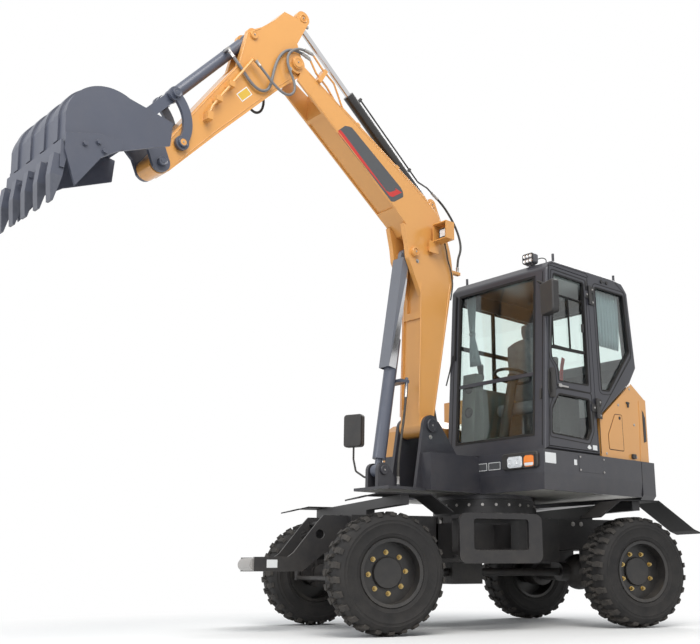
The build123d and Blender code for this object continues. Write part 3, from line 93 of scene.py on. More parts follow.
forward = Vector((math.cos(CAMERA_PITCH) * math.cos(CAMERA_YAW),
                  math.cos(CAMERA_PITCH) * math.sin(CAMERA_YAW), math.sin(CAMERA_PITCH)))
level = forward.cross(Vector((0, 0, 1))).normalized()
upright = level.cross(forward)
right = level * math.cos(CAMERA_ROLL) + upright * math.sin(CAMERA_ROLL)
top = upright * math.cos(CAMERA_ROLL) - level * math.sin(CAMERA_ROLL)
camera_data = bpy.data.cameras.new("photo_camera")
camera_data.lens = 48.31
camera_data.sensor_width = 36.0
camera_data.shift_x = -0.10813
camera_data.shift_y = 0.01069
camera = bpy.data.objects.new("photo_camera", camera_data)
bpy.context.scene.collection.objects.link(camera)
camera_turn = Matrix((right, top, -forward)).transposed().to_4x4()
camera.matrix_world = Matrix.Translation(CAMERA_PLACE) @ camera_turn
bpy.context.scene.camera = camera
print("camera looks along", [round(v, 3) for v in forward])

# %% [markdown]
# A world, a finish and a modelling tree are all graphs of nodes. With these helpers an input takes
# either a plain value or the output of another node, so that a graph reads like a sum.

# %% Node helpers
def link_object(name, data):
    made = bpy.data.objects.new(name, data)
    bpy.context.scene.collection.objects.link(made)
    return made


def feed(tree, target, inputs):
    """Give a node its inputs: plain values, or outputs of other nodes."""
    for key, value in inputs.items():
        if isinstance(value, bpy.types.NodeSocket):
            tree.links.new(value, target.inputs[key])
        else:
            target.inputs[key].default_value = value


def node(tree, kind, inputs=None, **settings):
    made = tree.nodes.new(kind)
    for key, value in settings.items():
        setattr(made, key, value)
    feed(tree, made, inputs or {})
    return made


def math_node(tree, operation, *values, clamp=False):
    made = node(tree, "ShaderNodeMath", dict(enumerate(values)), operation=operation,
                use_clamp=clamp)
    return made.outputs[0]


def object_place(tree):
    return node(tree, "ShaderNodeTexCoord").outputs["Object"]


print("node helpers ready")

# %% [markdown]
# Outdoor light on an overcast day is soft and comes from above. One large lamp on the camera's
# side, a weaker one in front and one from behind that draws the upper edges give that.

# %% Studio lamps
def area_lamp(name, place, target, size, watts, colour):
    data = bpy.data.lights.new(name, "AREA")
    data.shape = "DISK"
    data.size = size
    data.energy = watts
    data.color = colour
    lamp = link_object(name, data)
    lamp.location = place
    lamp.rotation_euler = (Vector(target) - Vector(place)).to_track_quat("-Z", "Y").to_euler()


area_lamp("sky_lamp", (1.5, 6.5, 9.0), (0, 0, 1.8), 7.0, 800, (1.0, 0.98, 0.95))
area_lamp("fill_lamp", (8.0, 3.0, 4.5), (0, 0, 1.8), 5.0, 290, (0.95, 0.97, 1.0))
area_lamp("rim_lamp", (-6.5, -5.0, 8.0), (0, 0, 2.0), 5.0, 420, (1.0, 1.0, 1.0))
print("lamps", len(bpy.data.lights))

# %% [markdown]
# The world is pale and the floor is a plain pale sheet. The background is white only where the
# camera, a reflection or a glass pane looks straight at it, so no extra light falls on the machine.
# The floor fades into that white a few metres away, and keeps the machine's shadow near the wheels.

# %% World and floor
FLOOR_HALF = 30
FLOOR_FADE = (1.9, 4.2)


def seen_rays(tree):
    """1 for the rays that show a background: straight, mirrored and those through glass."""
    path = node(tree, "ShaderNodeLightPath").outputs
    open_air = math_node(tree, "MAXIMUM", path["Is Camera Ray"], path["Is Glossy Ray"])
    return math_node(tree, "MAXIMUM", open_air, path["Is Transmission Ray"])


world = bpy.data.worlds.new("studio_world")
bpy.context.scene.world = world
world.use_nodes = True
sky = world.node_tree
sky.nodes.clear()
plain_sky = node(sky, "ShaderNodeBackground", {"Color": (0.86, 0.90, 0.95, 1), "Strength": 0.62})
seen_sky = node(sky, "ShaderNodeBackground", {"Color": (1, 1, 1, 1), "Strength": 1.0})
both_skies = node(sky, "ShaderNodeMixShader", {
    0: seen_rays(sky), 1: plain_sky.outputs[0], 2: seen_sky.outputs[0]})
node(sky, "ShaderNodeOutputWorld", {"Surface": both_skies.outputs[0]})

floor_mesh = bpy.data.meshes.new("floor")
corners = [(FLOOR_HALF * x, FLOOR_HALF * y, 0) for x, y in ((-1, -1), (1, -1), (1, 1), (-1, 1))]
floor_mesh.from_pydata(corners, [], [(0, 1, 2, 3)])
floor = link_object("floor", floor_mesh)
floor_look = bpy.data.materials.new("floor_look")
floor_look.use_nodes = True
ground = floor_look.node_tree
matt = ground.nodes["Principled BSDF"]
feed(ground, matt, {"Base Color": (0.80, 0.80, 0.79, 1), "Roughness": 0.9})
ground_far = node(ground, "ShaderNodeVectorMath", {0: object_place(ground)}, operation="LENGTH")
fade_inputs = {0: ground_far.outputs["Value"], 1: FLOOR_FADE[0], 2: FLOOR_FADE[1]}
ground_fade = node(ground, "ShaderNodeMapRange", fade_inputs, interpolation_type="SMOOTHSTEP")
ground_mix = node(ground, "ShaderNodeMixShader", {
    0: math_node(ground, "MULTIPLY", ground_fade.outputs[0], seen_rays(ground)),
    1: matt.outputs[0], 2: node(ground, "ShaderNodeEmission").outputs[0]})
feed(ground, ground.nodes["Material Output"], {"Surface": ground_mix.outputs[0]})
floor_mesh.materials.append(floor_look)
bpy.context.scene.view_settings.view_transform = "Standard"
print("world", world.name, "floor fades from", FLOOR_FADE[0], "to", FLOOR_FADE[1], "m")

# %% [markdown]
# Many finishes share the same ageing: a broken tone in the paint, dust that settles low down and
# on faces that look up, and paint worn thin along edges. Each effect is a node group with named
# inputs, built once, so a material only says how much of it there is.

# %% Shared shader effects
COLOUR, NUMBER = "NodeSocketColor", "NodeSocketFloat"
GREY = (0.5, 0.5, 0.5, 1)


def new_group(name, inputs, second_output):
    """An effect that takes a colour and gives a colour and one number."""
    group = bpy.data.node_groups.new(name, "ShaderNodeTree")
    for label, value in {"Colour": GREY, **inputs}.items():
        kind = COLOUR if isinstance(value, tuple) else NUMBER
        group.interface.new_socket(label, in_out="INPUT", socket_type=kind).default_value = value
    for label, kind in (("Colour", COLOUR), (second_output, NUMBER)):
        group.interface.new_socket(label, in_out="OUTPUT", socket_type=kind)
    return group, node(group, "NodeGroupInput").outputs, node(group, "NodeGroupOutput")


def cover(group, given, result, mask, over):
    """Lay the colour of one input over the given colour, and hand on both results."""
    mixed = node(group, "ShaderNodeMix", {0: mask, 6: given["Colour"], 7: given[over]},
                 data_type="RGBA")
    feed(group, result, {"Colour": mixed.outputs[2], "Mask": mask})


def noise(group, scale, detail, **inputs):
    texture = node(group, "ShaderNodeTexNoise", {
        "Vector": object_place(group), "Scale": scale, "Detail": detail, **inputs})
    return texture.outputs["Fac"]


def mottle_group():
    """A slow change of tone and a fine grain for bump."""
    group, given, result = new_group(
        "mottle", {"Scale": 3.0, "Strength": 0.2, "Grain Scale": 220.0}, "Grain")
    slow = noise(group, given["Scale"], 6.0, Roughness=0.6)
    tone = math_node(group, "MULTIPLY_ADD", slow, 2.0, -1.0)
    shade = math_node(group, "MULTIPLY", tone, given["Strength"])
    brighter = math_node(group, "ADD", shade, 1.0)
    toned = node(group, "ShaderNodeHueSaturation", {"Color": given["Colour"], "Value": brighter})
    grain = noise(group, given["Grain Scale"], 3.0)
    feed(group, result, {"Colour": toned.outputs["Color"], "Grain": grain})
    return group


def dust_group():
    """Dust that lies thicker low down and on faces that look up."""
    group, given, result = new_group(
        "dust", {"Dust Colour": (0.36, 0.31, 0.25, 1), "Amount": 0.3, "Top": 1.2, "Facing Up": 0.4},
        "Mask")
    height = node(group, "ShaderNodeSeparateXYZ", {0: object_place(group)}).outputs["Z"]
    share_up = math_node(group, "DIVIDE", height, given["Top"])
    low = math_node(group, "SUBTRACT", 1.0, share_up, clamp=True)
    normal = node(group, "ShaderNodeNewGeometry").outputs["Normal"]
    upward = node(group, "ShaderNodeSeparateXYZ", {0: normal}).outputs["Z"]
    upward = math_node(group, "MAXIMUM", upward, 0.0)
    facing = math_node(group, "MULTIPLY", upward, given["Facing Up"])
    patches = node(group, "ShaderNodeMapRange", {
        0: noise(group, 9.0, 8.0, Roughness=0.68), 1: 0.36, 2: 0.70})
    both = math_node(group, "ADD", math_node(group, "MULTIPLY", low, 0.8), facing, clamp=True)
    broken = math_node(group, "MULTIPLY_ADD", patches.outputs[0], 0.75, 0.25)
    broken = math_node(group, "MULTIPLY", both, broken)
    mask = math_node(group, "MULTIPLY", broken, given["Amount"], clamp=True)
    cover(group, given, result, mask, "Dust Colour")
    return group


def wear_group():
    """Paint worn through in places along the edges."""
    group, given, result = new_group("edge_wear", {
        "Bare Colour": (0.2, 0.19, 0.18, 1), "Amount": 0.5}, "Mask")
    soft_normal = node(group, "ShaderNodeBevel", {"Radius": 0.006}, samples=4).outputs[0]
    true_normal = node(group, "ShaderNodeNewGeometry").outputs["Normal"]
    bend = node(group, "ShaderNodeVectorMath", {0: soft_normal, 1: true_normal},
                operation="DOT_PRODUCT")
    edge = node(group, "ShaderNodeMapRange", {0: bend.outputs["Value"], 1: 0.99, 2: 0.90})
    chips = node(group, "ShaderNodeMapRange", {
        0: noise(group, 26.0, 6.0, Roughness=0.7), 1: 0.50, 2: 0.60})
    worn = math_node(group, "MULTIPLY", edge.outputs[0], chips.outputs[0])
    mask = math_node(group, "MULTIPLY", worn, given["Amount"], clamp=True)
    cover(group, given, result, mask, "Bare Colour")
    return group


MOTTLE, DUST, WEAR = mottle_group(), dust_group(), wear_group()
print("shader groups", [g.name for g in (MOTTLE, DUST, WEAR)])

# %% [markdown]
# A painted or moulded surface is one Principled shader fed by the three effects in turn. The
# settings that are the same all over stay on the shader's own sockets. Glass is the same shader
# with light let through, a faint tint and a little haze.

# %% How a finish is made
DUST_BROWN = (0.30, 0.255, 0.20, 1)
GRAIN_DEPTH = 0.002
COAT_ROUGH = 0.15


def new_look(name):
    material = bpy.data.materials.new(name)
    material.use_nodes = True
    return material, material.node_tree, material.node_tree.nodes["Principled BSDF"]


def effect(tree, group, **inputs):
    return node(tree, "ShaderNodeGroup", {
        key.replace("_", " "): value for key, value in inputs.items()}, node_tree=group).outputs


def finish(name, colour, rough, metal=0.0, coat=0.0, mottle=0.05, mottle_scale=3.0, grain=240.0,
           bump=0.02, dust=0.3, dust_top=1.2, facing_up=0.35, wear=0.0, bare=(0.16, 0.15, 0.14, 1),
           dust_colour=DUST_BROWN):
    """A painted, moulded or metal surface."""
    material, tree, shader = new_look(name)
    base = effect(tree, MOTTLE, Colour=(*colour, 1), Scale=mottle_scale, Strength=mottle,
                  Grain_Scale=grain)
    paint = base["Colour"]
    if wear:
        paint = effect(tree, WEAR, Colour=paint, Bare_Colour=bare, Amount=wear)["Colour"]
    dusty = effect(tree, DUST, Colour=paint, Dust_Colour=dust_colour, Amount=dust, Top=dust_top,
                   Facing_Up=facing_up)
    dull = math_node(tree, "MULTIPLY_ADD", dusty["Mask"], 0.5, rough)
    uneven = math_node(tree, "MULTIPLY_ADD", base["Grain"], 0.12, -0.06)
    relief = node(tree, "ShaderNodeBump", {
        "Strength": bump, "Distance": GRAIN_DEPTH, "Height": base["Grain"]})
    roughness = math_node(tree, "ADD", dull, uneven, clamp=True)
    feed(tree, shader, {"Metallic": metal, "Coat Weight": coat, "Coat Roughness": COAT_ROUGH})
    feed(tree, shader, {
        "Base Color": dusty["Colour"], "Roughness": roughness, "Normal": relief.outputs[0]})
    return material


def glass_finish(name, colour, rough=0.02):
    """A tinted pane with a little haze."""
    material, tree, shader = new_look(name)
    tint = effect(tree, MOTTLE, Colour=(*colour, 1), Scale=1.5, Strength=0.04)
    haze = effect(tree, DUST, Colour=tint["Colour"], Amount=0.10, Top=4.5, Facing_Up=0.0,
                  Dust_Colour=(0.75, 0.75, 0.72, 1))
    feed(tree, shader, {
        "Transmission Weight": 1.0, "IOR": 1.45, "Base Color": haze["Colour"],
        "Roughness": math_node(tree, "MULTIPLY_ADD", haze["Mask"], 0.5, rough)})
    return material


print("finish and glass_finish ready")

# %% [markdown]
# Each colour and gloss was set against the photograph in the light above. Paint that stands high
# gathers less dust than the chassis, and a part that works hard wears through at its edges.

# %% Finishes
orange_paint = finish("orange_paint", (0.63, 0.30, 0.078), 0.32, coat=0.45, mottle=0.04, dust=0.10,
                      dust_top=2.5, wear=0.2, bare=(0.40, 0.17, 0.05, 1))
dark_paint = finish("dark_paint", (0.026, 0.027, 0.036), 0.40, coat=0.15, mottle=0.10, dust=0.18,
                    dust_top=2.0, wear=0.35, bare=(0.10, 0.10, 0.10, 1))
chassis_paint = finish("chassis_paint", (0.010, 0.010, 0.012), 0.48, mottle=0.2, dust=0.20,
                       dust_top=1.1, wear=0.4)
guard_sheet = finish("guard_sheet", (0.011, 0.011, 0.012), 0.58, mottle=0.15, grain=420, bump=0.06,
                     dust=0.12)
rim_paint = finish("rim_paint", (0.009, 0.009, 0.010), 0.42, coat=0.1, mottle=0.2, dust=0.16,
                   dust_top=0.9, wear=0.3)
link_paint = finish("link_paint", (0.064, 0.074, 0.105), 0.38, coat=0.2, mottle=0.08, dust=0.10,
                    dust_top=4.0, wear=0.5, bare=(0.15, 0.145, 0.14, 1))
bucket_paint = finish("bucket_paint", (0.058, 0.066, 0.094), 0.42, coat=0.1, mottle=0.10, dust=0.10,
                      dust_top=6.0, wear=0.6, bare=(0.16, 0.16, 0.17, 1))
cylinder_black = finish("cylinder_black", (0.013, 0.013, 0.014), 0.33, coat=0.2, mottle=0.1,
                        dust=0.2, dust_top=5.0)
chrome = finish("chrome", (0.62, 0.62, 0.63), 0.14, metal=1.0, mottle=0.06, dust=0.08, dust_top=5.0,
                bump=0.004)
steel = finish("steel", (0.42, 0.41, 0.40), 0.36, metal=1.0, mottle=0.15, dust=0.25, dust_top=2.0)
yellow_zinc = finish("yellow_zinc", (0.50, 0.37, 0.15), 0.36, metal=1.0, mottle=0.2, dust=0.25,
                     dust_top=1.0)
galvanised = finish("galvanised", (0.45, 0.44, 0.41), 0.5, metal=0.7, mottle=0.25, mottle_scale=14,
                    dust=0.3)
black_plastic = finish("black_plastic", (0.016, 0.016, 0.017), 0.5, grain=600, bump=0.10, dust=0.2,
                       dust_top=3.0)
grey_plastic = finish("grey_plastic", (0.10, 0.10, 0.11), 0.5, grain=600, bump=0.08, dust=0.15,
                      dust_top=3.0)
rubber_seal = finish("rubber_seal", (0.010, 0.010, 0.011), 0.6, grain=500, bump=0.05, dust=0.15,
                     dust_top=3.0)
tyre_rubber = finish("tyre_rubber", (0.015, 0.0148, 0.0155), 0.70, mottle=0.2, mottle_scale=8,
                     grain=300, bump=0.12, dust=0.14, dust_top=1.3, facing_up=0.2,
                     dust_colour=(0.24, 0.21, 0.18, 1))
tread_rubber = finish("tread_rubber", (0.024, 0.0235, 0.0235), 0.82, mottle=0.2, mottle_scale=12,
                      grain=260, bump=0.2, dust=0.30, dust_top=1.5, facing_up=0.3,
                      dust_colour=(0.27, 0.23, 0.19, 1))
hose_black = finish("hose_black", (0.012, 0.012, 0.012), 0.55, grain=700, bump=0.15, dust=0.3,
                    dust_top=5.0)
hose_grey = finish("hose_grey", (0.16, 0.16, 0.165), 0.55, grain=500, bump=0.15, dust=0.2,
                   dust_top=6.0)
cast_iron = finish("cast_iron", (0.06, 0.06, 0.062), 0.7, grain=180, bump=0.2, dust=0.5,
                   dust_top=2.5)
seat_cloth = finish("seat_cloth", (0.15, 0.155, 0.165), 0.8, mottle=0.45, mottle_scale=24,
                    grain=900, bump=0.35, dust=0.1, dust_top=3.0)
cab_glass_look = glass_finish("cab_glass_look", (0.86, 0.94, 0.92))
amber_look = finish("amber_look", (0.85, 0.22, 0.01), 0.16, coat=0.5, mottle=0.05, dust=0.1,
                    dust_top=2.0)
white_label = finish("white_label", (0.72, 0.73, 0.73), 0.4, mottle=0.05, dust=0.25, dust_top=2.0)
red_stripe = finish("red_stripe", (0.50, 0.018, 0.014), 0.35, coat=0.2, mottle=0.05, dust=0.12,
                    dust_top=5.0)
plate_grey = finish("plate_grey", (0.055, 0.058, 0.064), 0.38, coat=0.2, mottle=0.06, dust=0.12,
                    dust_top=5.0)
for rubber in (tyre_rubber, tread_rubber, rubber_seal, guard_sheet):
    rubber.node_tree.nodes["Principled BSDF"].inputs["Specular IOR Level"].default_value = 0.25
print("finishes", len(bpy.data.materials))

# %% [markdown]
# Every CAD node keeps its shape and gets its finish here. A node's look is named in one table,
# so it is easy to see that none has been forgotten.

# %% Finishes of the CAD nodes
NODE_LOOKS = (
    (orange_paint, ("boom", "arm", "engine_hood", "side_hood")),
    (dark_paint, ("cab_frame", "door", "skirts", "counterweight", "upper_frame")),
    (chassis_paint, ("slew_ring", "chassis_frame", "front_axle", "rear_axle", "steering_rod",
                     "drive_line", "front_bracket", "steps", "knuckle_l", "knuckle_r")),
    (guard_sheet, ("mudguards",)),
    (rim_paint, ("rim_fl", "rim_fr", "rim_rl", "rim_rr")),
    (tyre_rubber, ("tyre_fl", "tyre_fr", "tyre_rl", "tyre_rr")),
    (link_paint, ("side_links", "tipping_link", "boom_barrel", "bucket_barrel")),
    (bucket_paint, ("bucket",)),
    (cylinder_black, ("arm_barrel",)),
    (chrome, ("boom_rod", "arm_rod", "bucket_rod")),
    (cab_glass_look, ("cab_glass", "door_glass")),
    (seat_cloth, ("seat",)),
    (black_plastic, ("cab_controls", "mirrors", "lamps")),
    (cast_iron, ("engine_block",)),
    (hose_black, ("arm_cylinder_hose", "boom_cylinder_hose_l", "boom_cylinder_hose_r",
                  "foot_hose_l", "foot_hose_r", "arm_hose_a", "arm_hose_b", "arm_hose_c")),
)


def dress(obj, material):
    obj.data.materials.clear()
    obj.data.materials.append(material)


for look, names in NODE_LOOKS:
    for name in names:
        dress(nodes[name], look)
bare_nodes = sorted(set(nodes) - {n for _, names in NODE_LOOKS for n in names})
print("nodes without a finish:", bare_nodes)

# %% [markdown]
# New pieces are drawn in millimetres in one of the two workshop frames. These helpers make the
# few forms that come back again and again: a turned part, a flat plate and a rounded bar.

# %% Piece helpers
def piece(name, mesh, body, material, place=UPPER, smooth=None, bevel=0.0):
    """Put a mesh drawn in millimetres into the shared frame, and let it ride on its body."""
    mesh.transform(place)
    made = link_object(name, mesh)
    if material is not None:
        mesh.materials.clear()
        mesh.materials.append(material)
    if smooth is not None:
        for face in mesh.polygons:
            face.use_smooth = True
        if smooth < 180:
            mesh.set_sharp_from_angle(angle=math.radians(smooth))
    if bevel:
        rounding = made.modifiers.new("rounding", "BEVEL")
        rounding.width = bevel * 0.001
        rounding.segments = 2
        rounding.limit_method = "ANGLE"
    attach(made, body)
    return made


def mesh_from(bm, name="shape"):
    bmesh.ops.remove_doubles(bm, verts=bm.verts, dist=0.001)
    bmesh.ops.recalc_face_normals(bm, faces=bm.faces)
    mesh = bpy.data.meshes.new(name)
    bm.to_mesh(mesh)
    bm.free()
    return mesh


def add_turned(bm, profile, matrix, steps=32):
    """A turned form: (radius, height) points spun about the local Z axis."""
    turns = [2 * math.pi * i / steps for i in range(steps)]
    circle = [(math.cos(turn), math.sin(turn)) for turn in turns]
    rings = []
    for radius, height in profile:
        around = [(radius * c, radius * s, height) for c, s in circle] if radius else [
            (0, 0, height)]
        rings.append([bm.verts.new(matrix @ Vector(spot)) for spot in around])
    for low, high in zip(rings, rings[1:]):
        for i in range(steps):
            j = (i + 1) % steps
            corners = (low[i % len(low)], low[j % len(low)], high[j % len(high)],
                       high[i % len(high)])
            unique = list(dict.fromkeys(corners))
            if len(unique) > 2:
                bm.faces.new(unique)


def add_ends(bm, near, far):
    """Close a plate: its two faces, and the wall between their outlines."""
    bm.faces.new(near)
    bm.faces.new(list(reversed(far)))
    for i in range(len(near)):
        j = (i + 1) % len(near)
        bm.faces.new((near[j], near[i], far[i], far[j]))


def axis_place(x, y, z, direction):
    """A matrix that puts the local Z axis along a direction, at a place."""
    turn = Vector(direction).to_track_quat("Z", "Y").to_matrix().to_4x4()
    return Matrix.Translation((x, y, z)) @ turn


def smooth_curve(name, points, resolution):
    """A smooth line along a route, which starts and ends where the route does."""
    curve = bpy.data.curves.new(name, "CURVE")
    curve.dimensions = "3D"
    spline = curve.splines.new("NURBS")
    spline.points.add(len(points) - 1)
    for target, source in zip(spline.points, points):
        target.co = (*source, 1)
    spline.order_u = 3
    spline.use_endpoint_u = True
    curve.resolution_u = resolution
    return curve


def evaluated_mesh(holder):
    """The plain mesh of an object as it is shown; the object itself goes."""
    shown = holder.evaluated_get(bpy.context.evaluated_depsgraph_get())
    mesh = bpy.data.meshes.new_from_object(shown)
    bpy.data.objects.remove(holder)
    return mesh


def tube_mesh(curve, radius, sides=4):
    """A curve made round, with closed ends."""
    curve.bevel_depth = radius
    curve.bevel_resolution = sides
    curve.use_fill_caps = True
    return evaluated_mesh(link_object("bar", curve))


print("piece helpers ready")

# %% [markdown]
# Bolts, nuts and pin caps repeat all over the machine. One Geometry Nodes tree makes them: the
# mesh it works on holds one point for each bolt, with the direction that its head faces, and the
# tree sets a head on each point. Realize Instances turns them into a plain mesh at the end.

# %% Bolt tree
def geometry_tree(name, inputs):
    """A tree with its own inputs: rows of label, kind of socket and first value."""
    tree = bpy.data.node_groups.new(name, "GeometryNodeTree")
    tree.interface.new_socket("Geometry", in_out="INPUT", socket_type="NodeSocketGeometry")
    sockets = {}
    for label, kind, value in inputs:
        socket = tree.interface.new_socket(label, in_out="INPUT", socket_type=kind)
        if value is not None:
            socket.default_value = value
        sockets[label] = socket.identifier
    tree.interface.new_socket("Geometry", in_out="OUTPUT", socket_type="NodeSocketGeometry")
    return tree, node(tree, "NodeGroupInput").outputs, sockets


def finish_tree(tree, given, instances):
    """Turn the instances into a plain mesh in the material that was given."""
    real = node(tree, "GeometryNodeRealizeInstances", {"Geometry": instances})
    coat = node(tree, "GeometryNodeSetMaterial", {
        "Geometry": real.outputs[0], "Material": given["Material"]})
    node(tree, "NodeGroupOutput", {0: coat.outputs[0]})


def bolt_tree():
    """A washer and a head on each point."""
    tree, given, sockets = geometry_tree("bolt_heads", [
        ("Head Radius", NUMBER, 10.0), ("Head Height", NUMBER, 7.0),
        ("Washer Radius", NUMBER, 13.0), ("Sides", "NodeSocketInt", 6),
        ("Material", "NodeSocketMaterial", None)])
    middle = node(tree, "ShaderNodeCombineXYZ", {
        "Z": math_node(tree, "MULTIPLY_ADD", given["Head Height"], 0.5, 2.0)})
    head = node(tree, "GeometryNodeMeshCylinder", {
        "Vertices": given["Sides"], "Radius": given["Head Radius"], "Depth": given["Head Height"]})
    washer = node(tree, "GeometryNodeMeshCylinder", {
        "Vertices": 20, "Radius": given["Washer Radius"], "Depth": 2.5})
    lift = node(tree, "GeometryNodeTransform", {
        "Geometry": head.outputs["Mesh"], "Translation": middle.outputs[0]})
    lift_washer = node(tree, "GeometryNodeTransform", {
        "Geometry": washer.outputs["Mesh"], "Translation": (0, 0, 1.0)})
    joined = node(tree, "GeometryNodeJoinGeometry")
    for part in (lift, lift_washer):
        tree.links.new(part.outputs[0], joined.inputs[0])
    facing = node(tree, "GeometryNodeInputNamedAttribute", {"Name": "facing"},
                  data_type="FLOAT_VECTOR")
    turn = node(tree, "FunctionNodeAlignRotationToVector", {"Vector": facing.outputs[0]}, axis="Z")
    place = node(tree, "GeometryNodeInstanceOnPoints", {
        "Points": given["Geometry"], "Instance": joined.outputs[0], "Rotation": turn.outputs[0]})
    finish_tree(tree, given, place.outputs[0])
    return tree, sockets


def run_tree(name, base_mesh, tree, sockets, values):
    """Let a tree work on a mesh, and give back the plain mesh that it makes."""
    holder = link_object(name, base_mesh)
    modifier = holder.modifiers.new("tree", "NODES")
    modifier.node_group = tree
    for label, value in values.items():
        modifier[sockets[label]] = value
    bpy.context.view_layer.update()
    return evaluated_mesh(holder)


BOLTS, BOLT_SOCKETS = bolt_tree()


def bolts(name, body, rows, head, height, washer, material, place=UPPER, sides=6):
    """Bolt heads at (x, y, z, facing) rows in millimetres."""
    base = bpy.data.meshes.new("bolt_points")
    base.from_pydata([row[:3] for row in rows], [], [])
    facing = base.attributes.new("facing", "FLOAT_VECTOR", "POINT")
    for target, row in zip(facing.data, rows):
        target.vector = row[3]
    mesh = run_tree(name + "_base", base, BOLTS, BOLT_SOCKETS, {
        "Head Radius": head, "Head Height": height, "Washer Radius": washer, "Sides": sides,
        "Material": material})
    return piece(name, mesh, body, material, place, smooth=30)


print("bolt tree inputs", list(BOLT_SOCKETS))

# %% [markdown]
# The tyre is the first thing the eye checks on a wheeled machine. Its carcass is a turned form
# with ribs on the side wall, and its tread is rows of deep blocks. The blocks repeat with the
# turn of the wheel, so a Geometry Nodes tree sets one modelled pair of blocks at each step.

# %% Tyre tread tree
TREAD_PITCHES = 26
TYRE_RADIUS = WHEEL_Z
TYRE_HALF = 156.0
CROWN_RADIUS = 400.0
BLOCK_TAPER = 0.86


def tread_tree():
    """Copies of one pair of blocks, each turned one step further round the Y axis."""
    tree, given, sockets = geometry_tree("tread_blocks", [
        ("Count", "NodeSocketInt", TREAD_PITCHES), ("Material", "NodeSocketMaterial", None)])
    line = node(tree, "GeometryNodeMeshLine", {"Count": given["Count"], "Offset": (0, 0, 0)})
    step = math_node(tree, "DIVIDE", 2 * math.pi, given["Count"])
    angle = math_node(tree, "MULTIPLY", node(tree, "GeometryNodeInputIndex").outputs[0], step)
    turn = node(tree, "ShaderNodeCombineXYZ", {"Y": angle})
    to_turn = node(tree, "FunctionNodeEulerToRotation", {0: turn.outputs[0]})
    place = node(tree, "GeometryNodeInstanceOnPoints", {
        "Points": line.outputs[0], "Instance": given["Geometry"], "Rotation": to_turn.outputs[0]})
    finish_tree(tree, given, place.outputs[0])
    return tree, sockets


def lug_block(bm, outline):
    """One tread block over an outline of (across, along) points, narrower at its top."""
    cx = sum(p[0] for p in outline) / len(outline)
    cy = sum(p[1] for p in outline) / len(outline)
    rings = []
    for radius_at, scale in ((tread_floor, 1.0), (tread_top, BLOCK_TAPER)):
        ring = []
        for across, along in outline:
            a = cx + (across - cx) * scale
            angle = (cy + (along - cy) * scale) / TYRE_RADIUS
            radius = radius_at(a)
            ring.append(bm.verts.new((radius * math.sin(angle), a, radius * math.cos(angle))))
        rings.append(ring)
    add_ends(bm, rings[1], rings[0])


def tread_top(across):
    """The tread's outer radius: nearly flat in the middle, falling at the shoulders."""
    share = abs(across) / TYRE_HALF
    return TYRE_RADIUS - 1.0 - 17.0 * max(0.0, share - 0.45) ** 1.6 / 0.38


def tread_floor(across):
    return min(tread_top(across) - 19.0, CROWN_RADIUS)


PITCH = 2 * math.pi * TYRE_RADIUS / TREAD_PITCHES
SHOULDER_BLOCK = ((42, -24), (92, -31), (150, -22), (150, 20), (104, 14), (92, 22), (50, 14))
CENTRE_BLOCK = ((-30, -36), (10, -30), (34, -12), (30, 6), (4, -4), (-26, -10))


def tread_mesh():
    """A shoulder block and a centre block on each side, half a pitch apart."""
    bm = bmesh.new()
    for side, shift in ((1, 0.0), (-1, PITCH / 2)):
        for shape in (SHOULDER_BLOCK, CENTRE_BLOCK):
            outline = [(side * a, s + shift) for a, s in shape]
            if side < 0:
                outline.reverse()
            lug_block(bm, outline)
    return mesh_from(bm, "tread_pair")


TREAD, TREAD_SOCKETS = tread_tree()
print("tread pitches", TREAD_PITCHES, "each", round(PITCH, 1), "mm long")

# %% [markdown]
# The carcass and the blocks become one mesh in two finishes: the side wall is smoother and darker
# than the tread, which the ground has dulled. Each tyre takes the place of its CAD node.

# %% Tyres
CARCASS = (
    # radius, half width, from the bead to the crown
    (236, 139), (243, 146), (252, 149), (262, 151), (266, 154), (272, 152), (300, 155.5),
    (330, 156), (334, 158.5), (339, 156), (352, 155), (357, 157), (362, 154), (376, 149),
    (390, 141), (397, 128), (399, 90), (400, 45),
)
BEAD = ((222, -132), (222, 132), (236, 139))


def carcass_mesh():
    bm = bmesh.new()
    around = [*CARCASS, (CROWN_RADIUS, 0),
              *((radius, -width) for radius, width in reversed(CARCASS)), *BEAD]
    add_turned(bm, around, Matrix.Rotation(math.radians(-90), 4, "X"), 96)
    return mesh_from(bm, "carcass")


for ending, x, side, _ in WHEELS:
    blocks = run_tree("tread_base", tread_mesh(), TREAD, TREAD_SOCKETS,
                      {"Count": TREAD_PITCHES, "Material": tread_rubber})
    bm = bmesh.new()
    bm.from_mesh(carcass_mesh())
    ring_faces = len(bm.faces)
    bm.from_mesh(blocks)
    tyre_mesh = bpy.data.meshes.new("tyre")
    bm.to_mesh(tyre_mesh)
    bm.free()
    place = CHASSIS @ Matrix.Translation((x, side * TRACK_HALF, WHEEL_Z))
    if side < 0:
        place = place @ Matrix.Rotation(math.pi, 4, "Z")
    tyre = piece("tyre_cover_" + ending, tyre_mesh, "wheel_" + ending, None, place, smooth=35)
    tyre.data.materials.append(tyre_rubber)
    tyre.data.materials.append(tread_rubber)
    for number, face in enumerate(tyre.data.polygons):
        face.material_index = 0 if number < ring_faces else 1
    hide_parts("tyre_" + ending)
print("tyre triangles", sum(len(f.vertices) - 2 for f in tyre.data.polygons))

# %% [markdown]
# Eight zinc-plated nuts hold each rim round its hub cap. They sit on the disc, and the cap is a
# plain pressing, so only the nuts are new pieces.

